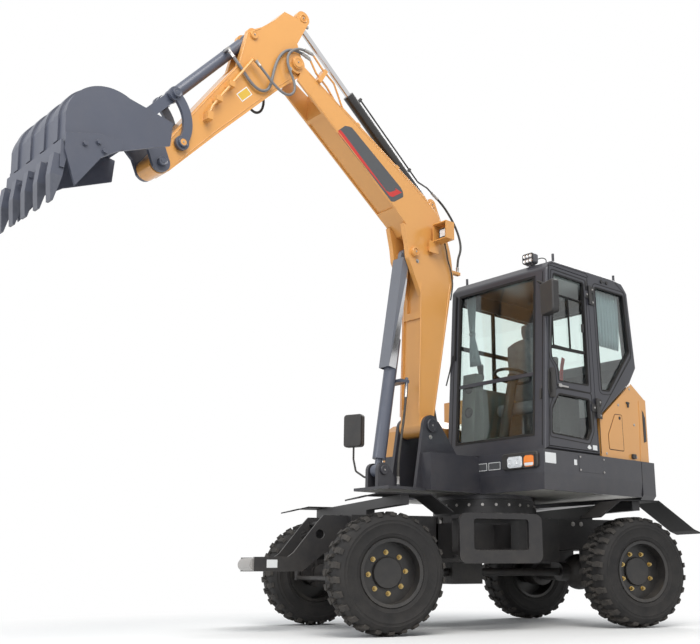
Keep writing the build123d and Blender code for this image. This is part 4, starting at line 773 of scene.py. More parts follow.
# %% Wheel nuts
NUT_CIRCLE = 140.0
NUT_SEAT = 44.0
NUTS = 8
for ending, x, side, turn in WHEELS:
    rows = []
    for i in range(NUTS):
        angle = math.radians(turn + 360 / NUTS * i)
        rows.append((x + NUT_CIRCLE * math.sin(angle), side * (TRACK_HALF + NUT_SEAT),
                     WHEEL_Z + NUT_CIRCLE * math.cos(angle), (0, side, 0)))
    body = "wheel_" + ending
    bolts("wheel_nuts_" + ending, body, rows, 13.5, 18, 18, yellow_zinc, CHASSIS)
    bolts("wheel_studs_" + ending, body, rows, 7, 26, 8, yellow_zinc, CHASSIS, sides=12)
print("wheel nuts", NUTS * len(WHEELS))

# %% [markdown]
# Hydraulic hoses are flexible and of a fixed length. Each is one smooth spline over the same
# route as in the CAD model, and its length is measured and printed. Each crosses a joint, and
# here it becomes a plain tube that stays in the shared frame.

# %% Hoses
ARM_TO_BOOM, TUBE_TO_BOOM = ("arm_body", "boom_body"), ("arm_tube", "boom_body")
TUBE_TO_DECK, BOOM_TO_DECK = ("boom_tube", "upper"), ("boom_body", "upper")
HOSES = (
    # name, bodies at its two ends, look, diameter, route in the upper frame
    ("arm_hose_a", ARM_TO_BOOM, hose_grey, 22.0,
     ((2738, 80, 4085), (2668, 104, 3998), (2570, 106, 3895), (2490, 107, 3858), (2425, 107, 3880),
      (2392, 107, 3945), (2378, 107, 4030), (2360, 107, 4115), (2328, 107, 4206), (2264, 107, 4288),
      (2162, 106, 4328), (2072, 106, 4306))),
    ("arm_hose_b", ARM_TO_BOOM, hose_grey, 20.0,
     ((2548, 134, 4065), (2470, 138, 4003), (2395, 141, 3938), (2310, 142, 3893), (2240, 142, 3898),
      (2196, 141, 3955), (2205, 140, 4030), (2245, 140, 4095), (2275, 139, 4165), (2268, 138, 4240),
      (2215, 137, 4300), (2140, 135, 4336), (2066, 132, 4334))),
    ("arm_hose_c", ARM_TO_BOOM, hose_black, 20.0,
     ((2548, -120, 4050), (2508, -124, 3972), (2465, -126, 3895), (2420, -126, 3832),
      (2365, -126, 3808), (2315, -126, 3838), (2292, -126, 3905), (2300, -126, 3985),
      (2318, -125, 4066), (2316, -124, 4155), (2278, -122, 4238), (2205, -120, 4295),
      (2120, -119, 4300))),
    ("arm_cylinder_hose", TUBE_TO_BOOM, hose_black, 20.0,
     ((575, 0, 3612), (476, 0, 3559.2), (404, 12, 3478), (350, 34, 3378), (320, 58, 3265),
      (322, 78, 3150), (384, 88, 3036), (384, 88, 2926))),
    ("boom_cylinder_hose_l", TUBE_TO_DECK, hose_black, 20.0,
     ((985, 80, 1815), (1004, 92, 1705), (1028, 99, 1580), (1052, 101, 1455), (1071, 99, 1330),
      (1080, 92, 1205), (1080, 92, 1076))),
    ("boom_cylinder_hose_r", TUBE_TO_DECK, hose_black, 20.0,
     ((1036, -78, 1800), (1056, -92, 1690), (1086, -103, 1570), (1110, -107, 1445),
      (1117, -106, 1320), (1100, -100, 1197), (1100, -100, 1076))),
    ("foot_hose_l", BOOM_TO_DECK, hose_black, 20.0,
     ((628, 40, 1965), (649, 40, 1856.7), (645, 42, 1745), (618, 44, 1630), (596, 47, 1510),
      (602, 50, 1385), (640, 52, 1240), (640, 52, 1076))),
    ("foot_hose_r", BOOM_TO_DECK, hose_black, 20.0,
     ((628, -40, 1965), (649, -40, 1856.7), (641, -42, 1740), (610, -44, 1622), (586, -47, 1500),
      (596, -50, 1370), (640, -52, 1225), (640, -52, 1076))),
)


for name, bodies, look, diameter, route in HOSES:
    curve = smooth_curve(name + "_line", [UPPER @ Vector(point) for point in route], 10)
    line = [vert.co.copy() for vert in evaluated_mesh(link_object("hose_line", curve)).vertices]
    length = sum((b - a).length for a, b in zip(line, line[1:]))
    curve.materials.append(look)
    tube = tube_mesh(curve, diameter * 0.0005)
    for face in tube.polygons:
        face.use_smooth = True
    hose = link_object(name + "_line", tube)
    ends = [tuple(UPPER @ Vector(route[i])) for i in (0, -1)]
    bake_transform(hose)
    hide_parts(name)
    print(name, "length", round(length, 3))

# %% [markdown]
# Seals, plates and lamps lie flat on the machine's faces. A surface here is a matrix that takes
# two measures along a face and a height above it, so an outline can be drawn as on the drawing.

# %% Surfaces and flat pieces
SCREEN_LEAN = (192 - 280) / (2830 - 1345)


def side_surface(y, sign=1):
    """A face that looks to the left, measured by (x, z); sign -1 makes it look to the right."""
    return Matrix(((1, 0, 0, 0), (0, 0, sign, y), (0, 1, 0, 0), (0, 0, 0, 1)))


def front_surface(x, lean=0.0, level_at=0.0):
    """A face that looks forward, measured by (y, z), and leans back with its height."""
    return Matrix(((0, lean, 1, x - lean * level_at), (1, 0, 0, 0), (0, 1, 0, 0), (0, 0, 0, 1)))


def rounded(points, radius, steps=4):
    """The outline with its corners cut to smooth curves."""
    spots = [Vector(p) for p in points]
    result = []
    for before, corner, after in zip(spots[-1:] + spots[:-1], spots, spots[1:] + spots[:1]):
        cut = min(radius, 0.45 * (corner - before).length, 0.45 * (after - corner).length)
        first = corner + (before - corner).normalized() * cut
        last = corner + (after - corner).normalized() * cut
        for i in range(steps + 1):
            t = i / steps
            result.append(tuple(first * (1 - t) ** 2 + corner * 2 * t * (1 - t) + last * t * t))
    return result


def rect(u0, u1, v0, v1, radius=0.0):
    corners = [(u0, v0), (u1, v0), (u1, v1), (u0, v1)]
    return rounded(corners, radius) if radius else corners


def moved_in(points, distance, closed=True):
    """The outline moved sideways by a distance, to its inside when it is closed."""
    spots = [Vector(p) for p in points]
    area = sum(a.x * b.y - b.x * a.y for a, b in zip(spots, spots[1:] + spots[:1]))
    side = 1 if area > 0 or not closed else -1
    result = []
    for i, corner in enumerate(spots):
        before, after = spots[i - 1], spots[(i + 1) % len(spots)]
        if not closed and i == 0:
            before = corner * 2 - after
        if not closed and i == len(spots) - 1:
            after = corner * 2 - before
        a, b = corner - before, after - corner
        mean = (Vector((-a.y, a.x)).normalized() + Vector((-b.y, b.x)).normalized()) * side
        result.append(tuple(corner + mean * distance * 2 / mean.length_squared))
    return result


def add_slab(bm, outline, low, high, surface):
    """A flat plate over an outline, between two heights above a surface."""
    near, far = ([bm.verts.new(surface @ Vector((u, v, h))) for u, v in outline]
                 for h in (high, low))
    add_ends(bm, near, far)


def add_line(bm, points, width, low, high, surface, closed=True):
    """A strip of even width along a line on a surface."""
    rims = [moved_in(points, side * width / 2, closed) for side in (-1, 1)]
    rings = [[bm.verts.new(surface @ Vector((u, v, h))) for u, v in rim] for rim in rims
             for h in (low, high)]
    order = (rings[0], rings[1], rings[3], rings[2])
    count = len(points)
    for i in range(count if closed else count - 1):
        j = (i + 1) % count
        for a, b in zip(order, order[1:] + order[:1]):
            bm.faces.new((a[i], a[j], b[j], b[i]))
    if not closed:
        bm.faces.new([ring[0] for ring in order])
        bm.faces.new([ring[-1] for ring in reversed(order)])


def slabs(name, material, surface, rows, body="upper", place=UPPER, bevel=0.0):
    """Flat plates from rows of (outline, low, high), as one piece."""
    bm = bmesh.new()
    for outline, low, high in rows:
        add_slab(bm, outline, low, high, surface)
    return piece(name, mesh_from(bm), body, material, place, bevel=bevel)


def lines(name, material, surface, rows, body="upper", place=UPPER, closed=True):
    """Strips from rows of (line, width, low, high), as one piece."""
    bm = bmesh.new()
    for line, width, low, high in rows:
        add_line(bm, line, width, low, high, surface, closed)
    return piece(name, mesh_from(bm), body, material, place)


def both_sides(points):
    """Bolt rows for (x, y, z) points on the left and on the right, each facing outwards."""
    return [(x, side * y, z, (0, side, 0)) for side in (1, -1) for x, y, z in points]


def turned(name, body, material, rows, smooth=40, place=UPPER):
    """Turned forms from rows of (profile, matrix, steps), as one piece."""
    bm = bmesh.new()
    for profile, matrix, steps in rows:
        add_turned(bm, profile, matrix, steps)
    return piece(name, mesh_from(bm), body, material, place, smooth=smooth)


def paint_faces(node_name, material, test, place=UPPER):
    """Give the faces of a CAD node whose centre passes a test their own finish."""
    obj = nodes[node_name]
    to_drawing = place.inverted() @ obj.matrix_world
    obj.data.materials.append(material)
    number = len(obj.data.materials) - 1
    painted = 0
    for face in obj.data.polygons:
        spot = to_drawing @ face.center
        if test(spot, face.normal):
            face.material_index = number
            painted += 1
    print(node_name, "faces painted", painted)


LEFT, AHEAD = (0, 1, 0), (1, 0, 0)
CAB_LEFT, CAB_RIGHT = side_surface(910), side_surface(-170, -1)
WINDSCREEN = front_surface(280, SCREEN_LEAN, 1345)
REAR_LEAN = (1032 - 962) / (2837 - 2159)
REAR_WINDOW = front_surface(-1032, REAR_LEAN, 2159) @ Matrix.Diagonal((1, 1, -1, 1))
SKIRT_FRONT = front_surface(345)
SKIRT_SIDE = side_surface(930)
BOOM_HALF, ARM_HALF = 110, 85
BOOM_SIDE, ARM_SIDE = side_surface(BOOM_HALF), side_surface(ARM_HALF)
SCREW = {"head": 7, "height": 4, "washer": 9, "material": steel, "sides": 12}
print("surfaces of cab, skirt, boom and arm ready")

# %% [markdown]
# The cab reads as real through its rubber. Each pane sits in a black seal, a thin gasket line
# runs round it on the outside, and the windscreen is split by a bar. The door carries its own.

# %% Cab seals
SCREEN = rect(-65, 790, 1455, 2780)
QUARTER = rounded([(-455, 2800), (-890, 2808), (-940, 2288), (-600, 1894), (-480, 1888)], 25)
DOOR_UPPER = rounded([(184, 2133), (118, 2800), (-300, 2800), (-310, 1905), (98, 1892), (110, 2008),
                      (178, 2074)], 25)
DOOR_LOWER = rounded([(212, 1464), (200, 1668), (101, 1800), (-308, 1800), (-327, 1540),
                      (-268, 1450)], 25)
RIGHT_WINDOW = rounded([(170, 1500), (110, 2740), (-860, 2740), (-900, 2250), (-640, 1910),
                        (-420, 1700), (-400, 1500)], 25)
UPPER_GASKET = rounded([(206, 2140), (142, 2824), (-324, 2824), (-336, 1850), (120, 1850),
                        (134, 1998), (200, 2066)], 25)
LOWER_GASKET = rounded([(228, 1440), (218, 1680), (128, 1838), (-336, 1846), (-352, 1534),
                        (-288, 1424)], 25)
REAR_PANE = rect(-60, 800, 2250, 2760)

lines("windscreen_seal", rubber_seal, WINDSCREEN, [(moved_in(SCREEN, 9), 20, -19.5, 3)])
lines("windscreen_bar", dark_paint, WINDSCREEN, [([(-60, 1955), (785, 1955)], 30, -19.5, -3)],
      closed=False)
lines("cab_corner_gaskets", rubber_seal, WINDSCREEN,
      [([(866, 1372), (866, 2800)], 7, 0, 1.5), ([(-112, 1372), (-112, 2800)], 6, 0, 1.5)],
      closed=False)
slabs("windscreen_latch", black_plastic, WINDSCREEN, [
    (rect(846, 862, 1740, 1822, 5), 0, 14), (rect(740, 776, 1462, 1476, 4), -19, -8),
    (rect(-52, -20, 1462, 1478, 4), -19, -8)], bevel=1.5)
lines("quarter_seal", rubber_seal, CAB_LEFT, [
    (moved_in(QUARTER, 6), 13, -19.5, 0.8), (moved_in(QUARTER, -26), 6, 0, 1.2)])
lines("rear_seam", rubber_seal, CAB_LEFT, [
    ([(-440, 1360), (-434, 1672), (-956, 2246), (-900, 2832), (-770, 2898)], 6, 0, 1.2),
    ([(250, 1360), (168, 2866), (118, 2880), (-340, 2888), (-372, 2860)], 5, 0, 1.0)], closed=False)
lines("door_seals", rubber_seal, CAB_LEFT, [
    (moved_in(DOOR_UPPER, 6), 13, -23.5, 0.8), (moved_in(DOOR_LOWER, 6), 13, -23.5, 0.8),
    (UPPER_GASKET, 7, 0, 1.5), (LOWER_GASKET, 7, 0, 1.5)], "cab_door")
lines("right_window_seal", rubber_seal, CAB_RIGHT, [(moved_in(RIGHT_WINDOW, 6), 13, -19.5, 0.8)])
lines("rear_window_seal", rubber_seal, REAR_WINDOW, [(moved_in(REAR_PANE, 6), 13, -19, 1)])
print("cab seals done")

# %% [markdown]
# The door has a sliding pane with its own frame and catch, a latch at the waist, and a handle in
# a dished plate. Screws hold its hinges, and two small pale labels sit low on it.

# %% Door, handle and hinges
HINGE_FACE, HINGE_REACH = 918, 90
HINGES = (
    # x of the screws on the cab, x of the screw on the door, height
    (-412, -332, 2700),
    (-442, -362, 1730),
)
HANDLE_DISH = rounded([(186, 1994), (232, 1976), (240, 1800), (206, 1738), (172, 1782),
                       (170, 1960)], 24, 6)
lines("slider_frame", rubber_seal, CAB_LEFT, [(rect(-288, 124, 2188, 2626, 14), 9, -22, -12)],
      "cab_door")
lines("slider_bars", rubber_seal, CAB_LEFT,
      [([(-96, 2192), (-86, 2622)], 12, -22, -10), ([(-300, 2186), (172, 2172)], 24, -23, -9)],
      "cab_door", closed=False)
slabs("slider_catch", black_plastic, CAB_LEFT, [(rect(-282, -262, 2360, 2430, 4), -20, -4)],
      "cab_door", bevel=1.5)
slabs("door_waist_latch", steel, CAB_LEFT,
      [(rect(-20, 108, 1852, 1866, 5), 0, 10), (rect(70, 112, 1846, 1874, 8), 0, 14)], "cab_door",
      bevel=1.5)
slabs("door_handle_dish", black_plastic, CAB_LEFT, [(HANDLE_DISH, 0, 7)], "cab_door", bevel=2.5)


def on_hinge(p, n):
    return p.y > 908.5 and -480 < p.x < -330 and any(abs(p.z - z) < HINGE_REACH for *_, z in HINGES)


paint_faces("door", black_plastic, lambda p, n: p.y > 911 and 150 < p.x < 230 and 1740 < p.z < 1995)
for hinge_node in ("door", "cab_frame"):
    paint_faces(hinge_node, black_plastic, on_hinge)
bolts("door_hinge_screws", "upper",
      [(x, HINGE_FACE, z + dz, LEFT) for x, _, z in HINGES for dz in (-56, 56)], **SCREW)
bolts("door_hinge_screws_front", "cab_door", [(x, HINGE_FACE, z, LEFT) for _, x, z in HINGES],
      **SCREW)
bolts("cab_side_studs", "upper", [(-560, 910, 2862, LEFT), (-640, 910, 2866, LEFT)], 15, 6, 18,
      black_plastic, sides=16)
lines("cab_side_stud_bar", black_plastic, CAB_LEFT, [([(-560, 2862), (-640, 2866)], 6, 0, 5)],
      closed=False)
slabs("cab_labels", white_label, CAB_LEFT, [
    (rounded([(-244, 1392), (-276, 1424), (-308, 1392), (-276, 1380)], 20), 0, 0.5),
    (rect(-382, -322, 1380, 1420, 4), 0, 0.5)], "cab_door")
print("door trims done")

# %% [markdown]
# A lamp looks deep when a bright bowl lies behind its clear face. Each headlamp has a clear part
# and an amber one with a pale reflector under it, all in a black frame.

# %% Lamps
bright_bowl = finish("bright_bowl", (0.78, 0.78, 0.78), 0.22, metal=0.85, mottle=0.2,
                     mottle_scale=60, bump=0.05)
lamp_lens = finish("lamp_lens", (0.66, 0.68, 0.70), 0.12, coat=0.8, mottle=0.35, mottle_scale=45,
                   bump=0.04)
BULB = ((0, 0), (15, 0), (18, 3), (20, 8))
ROOF_CELL = ((0, 3), (8, 3), (15, 7), (15, 0))
for side in (1, -1):
    lens = sorted((side * 585, side * 738))
    amber = sorted((side * 752, side * 852))
    end = "left" if side > 0 else "right"
    for look, (low, high) in ((lamp_lens, lens), (amber_look, amber)):
        paint_faces("lamps", look, lambda p, n: p.x > 366 and low - 2 < p.y < high + 2
                    and 1200 < p.z < 1300)
    slabs("headlamp_glass_" + end, lamp_lens, SKIRT_FRONT,
          [(rect(lens[0] + 8, lens[1] - 8, 1216, 1285, 14), 26, 29.5)], bevel=1.5)
    slabs("headlamp_amber_" + end, amber_look, SKIRT_FRONT,
          [(rect(amber[0] + 7, amber[1] - 7, 1240, 1286, 12), 26, 30)], bevel=1.5)
    slabs("headlamp_reflex_" + end, white_label, SKIRT_FRONT,
          [(rect(amber[0] + 7, amber[1] - 7, 1214, 1237, 8), 26, 29)], bevel=1.0)
    lines("headlamp_rim_" + end, black_plastic, SKIRT_FRONT, [
        (rect(lens[0] - 4, lens[1] + 4, 1203, 1298, 18), 8, 18, 29),
        (rect(amber[0] - 4, amber[1] + 4, 1203, 1298, 14), 8, 18, 29)])
    bulbs = [axis_place(372, y, 1250, AHEAD) for y in (lens[0] + 34, lens[1] - 42)]
    turned("headlamp_bulbs_" + end, "upper", bright_bowl, [(BULB, place, 24) for place in bulbs])
paint_faces("lamps", grey_plastic, lambda p, n: p.z > 2900)
cells = [axis_place(142, 643 + 33 * column, 2946 + 42 * row, AHEAD) for row in range(2)
         for column in range(3)]
turned("roof_lamp_cells", "upper", bright_bowl, [(ROOF_CELL, place, 20) for place in cells])
lines("roof_lamp_rim", black_plastic, front_surface(142),
      [(rect(624, 728, 2928, 3006, 16), 8, 0, 7)])
ROOF_CABLE = ((96, 676, 2932), (60, 700, 2975), (20, 740, 2990), (30, 790, 2950), (70, 800, 2906))
piece("roof_lamp_cable", tube_mesh(smooth_curve("cable", ROOF_CABLE, 8), 4.5), "upper",
      black_plastic, smooth=60)
print("lamps done")

# %% [markdown]
# The skirt round the deck carries plain plates and a screwed cover, and thin dark lines show
# where the tail and the cab's foot meet it.

# %% Skirt
slabs("front_small_plates", plate_grey, SKIRT_FRONT,
      [(rect(u0, u1, 1207, 1272, 3), 0, 1.6) for u0, u1 in ((231, 352), (364, 494))], bevel=0.5)
lines("front_small_borders", white_label, SKIRT_FRONT,
      [(rect(u0, u1, 1212, 1267), 4, 1.4, 2.1) for u0, u1 in ((236, 347), (369, 489))])
slabs("skirt_labels", white_label, SKIRT_SIDE,
      [(rect(196, 330, 1230, 1311, 3), 0, 0.8), (rect(-71, -34, 1237, 1280, 2), 0, 0.8)])
slabs("skirt_cover", dark_paint, SKIRT_SIDE, [(rect(-443, -98, 1190, 1319, 8), -0.5, 2.4)],
      bevel=0.8)
bolts("skirt_cover_screws", "upper",
      [(x, 932.4, z, LEFT) for x in (-430, -112) for z in (1203, 1306)], **SCREW)
lines("skirt_gaps", rubber_seal, SKIRT_SIDE, [([(-989, 1162), (-989, 1334)], 5, -3, 0.8)],
      closed=False)
lines("cab_foot_gap", rubber_seal, side_surface(900), [([(-436, 1340), (276, 1340)], 9, -30, 4)],
      closed=False)
print("skirt done")

# %% [markdown]
# The hood is one bulged sheet with a service flap, a slot of louvres near its rear end, and screws
# in small washers. Raised lips are drawn as thin lines so that they catch the light like pressings.

# %% Hood details
HOOD_Y = 905
HOOD_SIDE = side_surface(HOOD_Y)
FLAP = rounded([(-560, 1404), (-552, 1530), (-662, 1716), (-772, 1719), (-778, 1404)], 18)
HOOD_SCREWS = ((-724, 1798), (-951, 1649), (-520, 1368), (-955, 1370), (-905, 1960))
slabs("hood_flap", orange_paint, HOOD_SIDE, [(moved_in(FLAP, 8), -0.5, 3.2)], bevel=1.2)
lines("hood_flap_gap", rubber_seal, HOOD_SIDE, [(moved_in(FLAP, 3), 5, -0.5, 0.9)])
lines("hood_lips", orange_paint, HOOD_SIDE,
      [([(-1020, 1345), (-1040, 1640), (-1042, 1870)], 7, -0.5, 3.5)], closed=False)
slabs("hood_flap_latch", black_plastic, HOOD_SIDE, [(rect(-742, -716, 1672, 1698, 11), 2, 7)],
      bevel=1)
slabs("hood_lock", black_plastic, HOOD_SIDE,
      [(rect(-888, -842, 1822, 1840, 5), 0, 8), (rect(-876, -856, 1792, 1836, 6), 0, 10)],
      bevel=1.5)
slabs("hood_foot_latch", black_plastic, HOOD_SIDE, [(rect(-930, -880, 1352, 1392, 8), 0, 22)],
      bevel=3)
bolts("hood_screws", "upper", [(x, HOOD_Y, z, LEFT) for x, z in HOOD_SCREWS], 7, 4, 12, steel)
# The black sheet in the slot is painted shade: it stands for the dark opening behind the louvres.
slabs("hood_slot", black_plastic, HOOD_SIDE, [
    ([(-1088, 1508), (-1086, 1792), (-1108, 1776), (-1130, 1712), (-1130, 1520)], -0.5, 1.0)])
slabs("hood_louvres", dark_paint, HOOD_SIDE,
      [(rect(-1126, -1092, 1526 + 20 * i, 1535 + 20 * i), 0.8, 5) for i in range(11)])
print("hood done")

# %% [markdown]
# Cloth never hangs flat. The two curtains are sheets gathered into folds, drawn closer together
# where a tie holds them.

# %% Curtains
curtain_cloth = finish("curtain_cloth", (0.30, 0.37, 0.40), 0.9, mottle=0.12, mottle_scale=20,
                       grain=900, bump=0.2, dust=0.05, dust_top=3.0)
FOLD_STEPS = 10


def curtain(name, rows, folds, depth, along, base):
    """A sheet gathered in folds: rows of (height, start, end) measured along X or Y."""
    bm = bmesh.new()
    grid = []
    steps = folds * FOLD_STEPS
    for number, (z, start, end) in enumerate(rows):
        line = []
        for i in range(steps + 1):
            share = i / steps
            turn = 2 * math.pi * folds * share + 0.6 * math.sin(5 * share + number * 0.3)
            wave = depth * math.sin(turn)
            run = start + (end - start) * share
            spot = (run, base + wave, z) if along == "X" else (base + wave, run, z)
            line.append(bm.verts.new(spot))
        grid.append(line)
    for low, high in zip(grid, grid[1:]):
        for i in range(steps):
            bm.faces.new((low[i], low[i + 1], high[i + 1], high[i]))
    made = piece(name, mesh_from(bm), "upper", curtain_cloth, smooth=180)
    thick = made.modifiers.new("cloth", "SOLIDIFY")
    thick.thickness = 0.0012


FRONT_HANG = ((2800, -62, 30), (2700, -58, 26), (2600, -50, 20), (2500, -40, 12), (2445, -32, 8),
              (2400, -34, 14), (2320, -40, 40), (2230, -42, 66), (2154, -40, 88))
REAR_HANG = ((2812, -486, -880), (2700, -488, -884), (2600, -490, -886), (2500, -492, -882),
             (2400, -496, -872), (2300, -500, -856))
curtain("front_curtain", FRONT_HANG, 5, 13, "Y", 96)
curtain("rear_curtain", REAR_HANG, 9, 11, "X", 848)
slabs("curtain_tie", curtain_cloth, front_surface(96), [(rect(-36, 12, 2432, 2456, 8), -20, 20)],
      bevel=4)
print("curtains done")

# %% [markdown]
# The seat has crowned cushions whose sides pull in between their corners, with two sewn channels
# along each, a head pad, and a belt beside it.

# %% Seat
belt_red = finish("belt_red", (0.42, 0.02, 0.02), 0.7, grain=900, bump=0.1, dust=0.05, dust_top=3.0)
PAD_CUTS = 11
CHANNEL_PLACE, CHANNEL_WIDTH, CHANNEL_DEPTH = 0.55, 0.05, 0.06


def ball_share(a, b, c):
    """Where a cube's point lands on a ball, along its first axis."""
    return a * math.sqrt(1 - b * b / 2 - c * c / 2 + b * b * c * c / 3)


def cushion_mesh(size, place, pull=0.5):
    """A crowned pad: a block whose faces swell and whose sides pull in between the corners."""
    bm = bmesh.new()
    bmesh.ops.create_cube(bm, size=2.0)
    bmesh.ops.subdivide_edges(bm, edges=bm.edges, cuts=PAD_CUTS, use_grid_fill=True)
    for vert in bm.verts:
        x, y, z = vert.co
        ball = Vector((ball_share(x, y, z), ball_share(y, z, x), ball_share(z, x, y)))
        vert.co = vert.co.lerp(ball, pull)
        if z > 0:
            vert.co.z -= CHANNEL_DEPTH * math.exp(-((abs(y) - CHANNEL_PLACE) / CHANNEL_WIDTH) ** 2)
    bmesh.ops.transform(bm, matrix=place @ Matrix.Diagonal((*(s / 2 for s in size), 1)),
                        verts=bm.verts)
    bmesh.ops.recalc_face_normals(bm, faces=bm.faces)
    mesh = bpy.data.meshes.new("pad")
    bm.to_mesh(mesh)
    bm.free()
    return mesh


BACK_LEAN = Matrix.Rotation(math.radians(-80.0), 4, "Y")
PADS = (
    # name, size, place of its middle
    ("seat_pad", (420, 498, 118), Matrix.Translation((-178, 380, 1750))),
    ("seat_back_pad", (570, 456, 122), Matrix.Translation((-212, 380, 2100)) @ BACK_LEAN),
    ("seat_head_pad", (150, 256, 66), Matrix.Translation((-266, 380, 2465)) @ BACK_LEAN),
)
for name, size, place in PADS:
    pad = piece(name, cushion_mesh(size, place), "upper", seat_cloth, smooth=180)
    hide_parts("seat")
SEAT_FOOT = ((-350, 1391), (8, 1391), (-6, 1600), (4, 1688), (-388, 1688), (-340, 1600))
BELT = ((-330, 2190), (-306, 2120), (-292, 2040), (-286, 1960), (-296, 1880), (-322, 1800))
seat_base = slabs("seat_base", black_plastic, side_surface(200), [(SEAT_FOOT, 0, 360)], bevel=6)
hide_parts("seat")
lines("seat_belt", belt_red, side_surface(640), [(BELT, 44, 0, 2.4)], closed=False)
print("seat pads", len(PADS))

# %% [markdown]
# Inside the cab the right pillar carries two round vents, and the levers end in shaped grips.
# They are seen through green glass, so their own colours are a little lighter than they look.

# %% Cab controls and right window
cab_trim = finish("cab_trim", (0.15, 0.17, 0.155), 0.55, grain=500, bump=0.06, dust=0.1,
                  dust_top=3.0)
VENT_RING = ((30, -6), (30, 2), (34, 7), (42, 8), (46, 3), (46, -6))
VENT_BLADE = ((0, 4), (22, 4), (30, 1), (30, -6))
VENTS = [axis_place(x, y, z, (1, 0, 0.07)) for x, y, z in ((108, -52, 1964), (123, -44, 1751))]
LEVER_ENDS = [axis_place(*spot, (0.12, 0, 1)) for spot in ((-20, -25, 2120), (-120, 715, 2080))]
STEERING_COLUMN = axis_place(46, 380, 1968, (-0.254, 0, 0.967))
GRIP = ((0, -70), (21, -66), (26, -40), (22, -10), (27, 30), (30, 55), (22, 72), (0, 76))
BOSS = ((0, 44), (30, 44), (52, 34), (58, 20), (44, 4), (0, 4))
paint_faces("cab_controls", cab_trim, lambda p, n: p.y < 70 and p.z < 2092 and p.x > -335)
vent_parts = [row for place in VENTS for row in ((VENT_RING, place, 32), (VENT_BLADE, place, 24))]
turned("console_vents", "upper", black_plastic, vent_parts)
turned("lever_grips", "upper", black_plastic, [(GRIP, place, 20) for place in LEVER_ENDS], 50)
lines("right_window_bars", rubber_seal, CAB_RIGHT,
      [([(-330, 1512), (-330, 2728)], 30, -40, -14), ([(140, 2336), (-890, 2336)], 34, -40, -14)],
      closed=False)
turned("steering_boss", "upper", black_plastic, [(BOSS, STEERING_COLUMN, 28)])
print("cab inside done")

# %% [markdown]
# The boom carries a plain dark plate with a red stripe, and the arm a plain yellow plate in a
# pale border. Weld beads run along the edges of the box sections.

# %% Plates and welds of the working arm
PLATE = ((1749, 3791), (1679, 3856), (1637, 3865), (1607, 3865), (1573, 3843), (1074, 3507),
         (1052, 3479), (1045, 3439), (1052, 3428), (1145, 3363), (1180, 3355), (1219, 3375),
         (1748, 3766))
STRIPE = ((1749, 3791), (1724, 3805), (1700, 3791), (1237, 3431), (1198, 3430), (1131, 3467),
          (1138, 3485), (1063, 3467), (1163, 3399), (1201, 3397), (1244, 3429), (1748, 3766))
slabs("boom_plate", plate_grey, BOOM_SIDE, [(PLATE, 0, 0.8)], "boom_body")
slabs("boom_stripe", red_stripe, BOOM_SIDE, [(STRIPE, 0.7, 1.4)], "boom_body")
ARM_PLATE = ((2672, 3772), (2590, 3862), (2536, 3818), (2618, 3728))
sign_yellow = finish("sign_yellow", (0.62, 0.40, 0.05), 0.4, mottle=0.05, dust=0.1, dust_top=5.0)
slabs("arm_plate_border", white_label, ARM_SIDE, [(ARM_PLATE, 0, 0.6)], "arm_body")
slabs("arm_plate", sign_yellow, ARM_SIDE, [(moved_in(ARM_PLATE, 7), 0.5, 1.1)], "arm_body")
WELD_STEP, WELD_WIDTH, WELD_HEIGHT, WELD_RIPPLE = 14, 9.0, 3.4, 0.9
WELD_FOOT = -1.5


def add_weld(bm, points, y):
    """A weld bead: a low ridge with a fine ripple along a line on a side face."""
    rows = []
    for (x0, z0), (x1, z1) in zip(points, points[1:]):
        run = Vector((x1 - x0, z1 - z0))
        count = max(2, int(run.length / WELD_STEP))
        across = Vector((-run.y, run.x)).normalized()
        for i in range(count):
            spot = Vector((x0, z0)) + run * (i / count)
            rows.append((spot, across, WELD_HEIGHT + WELD_RIPPLE * (i % 2)))
        rows.append((Vector((x1, z1)), across, WELD_HEIGHT))
    side = 1 if y > 0 else -1
    rings = []
    for spot, across, height in rows:
        ring = []
        slope = height * 0.7
        for share, lift in ((-0.5, WELD_FOOT), (-0.3, slope), (0.0, height), (0.3, slope),
                            (0.5, WELD_FOOT)):
            at = spot + across * (share * WELD_WIDTH)
            ring.append(bm.verts.new((at.x, y + side * lift, at.y)))
        rings.append(ring)
    for a, b in zip(rings, rings[1:]):
        for i in range(len(a)):
            j = (i + 1) % len(a)
            bm.faces.new((a[i], a[j], b[j], b[i]))
    bm.faces.new(rings[0])
    bm.faces.new(list(reversed(rings[-1])))


BOOM_WELDS = (
    ((1114, 3296), (1300, 3438), (1700, 3744), (2050, 4011)),
    ((2050, 4176), (1500, 3872), (800, 3486), (716, 3430)),
    ((842, 2740), (850, 2300), (872, 1640)),
    ((500, 2800), (596, 2250), (716, 1640)),
)
ARM_WELDS = (
    ((2160, 4118), (2345, 3940), (2836, 3414), (3110, 3096)),
    ((2492, 4380), (2600, 4296), (2660, 4010), (3028, 3462), (3226, 3160)),
)
WELDED = (("boom_welds", "boom_body", BOOM_WELDS, BOOM_HALF),
          ("arm_welds", "arm_body", ARM_WELDS, ARM_HALF))
for name, body, table, reach in WELDED:
    bm = bmesh.new()
    for points in table:
        for y in (reach, -reach):
            add_weld(bm, points, y)
    piece(name, mesh_from(bm), body, orange_paint, smooth=60)
print("arm plates and welds done")

# %% [markdown]
# Every pin ends in a cap with a grease nipple, and a keeper bolt beside it stops it from turning.
# One table lists them, and the bolt tree and the turned form do the rest on both sides.

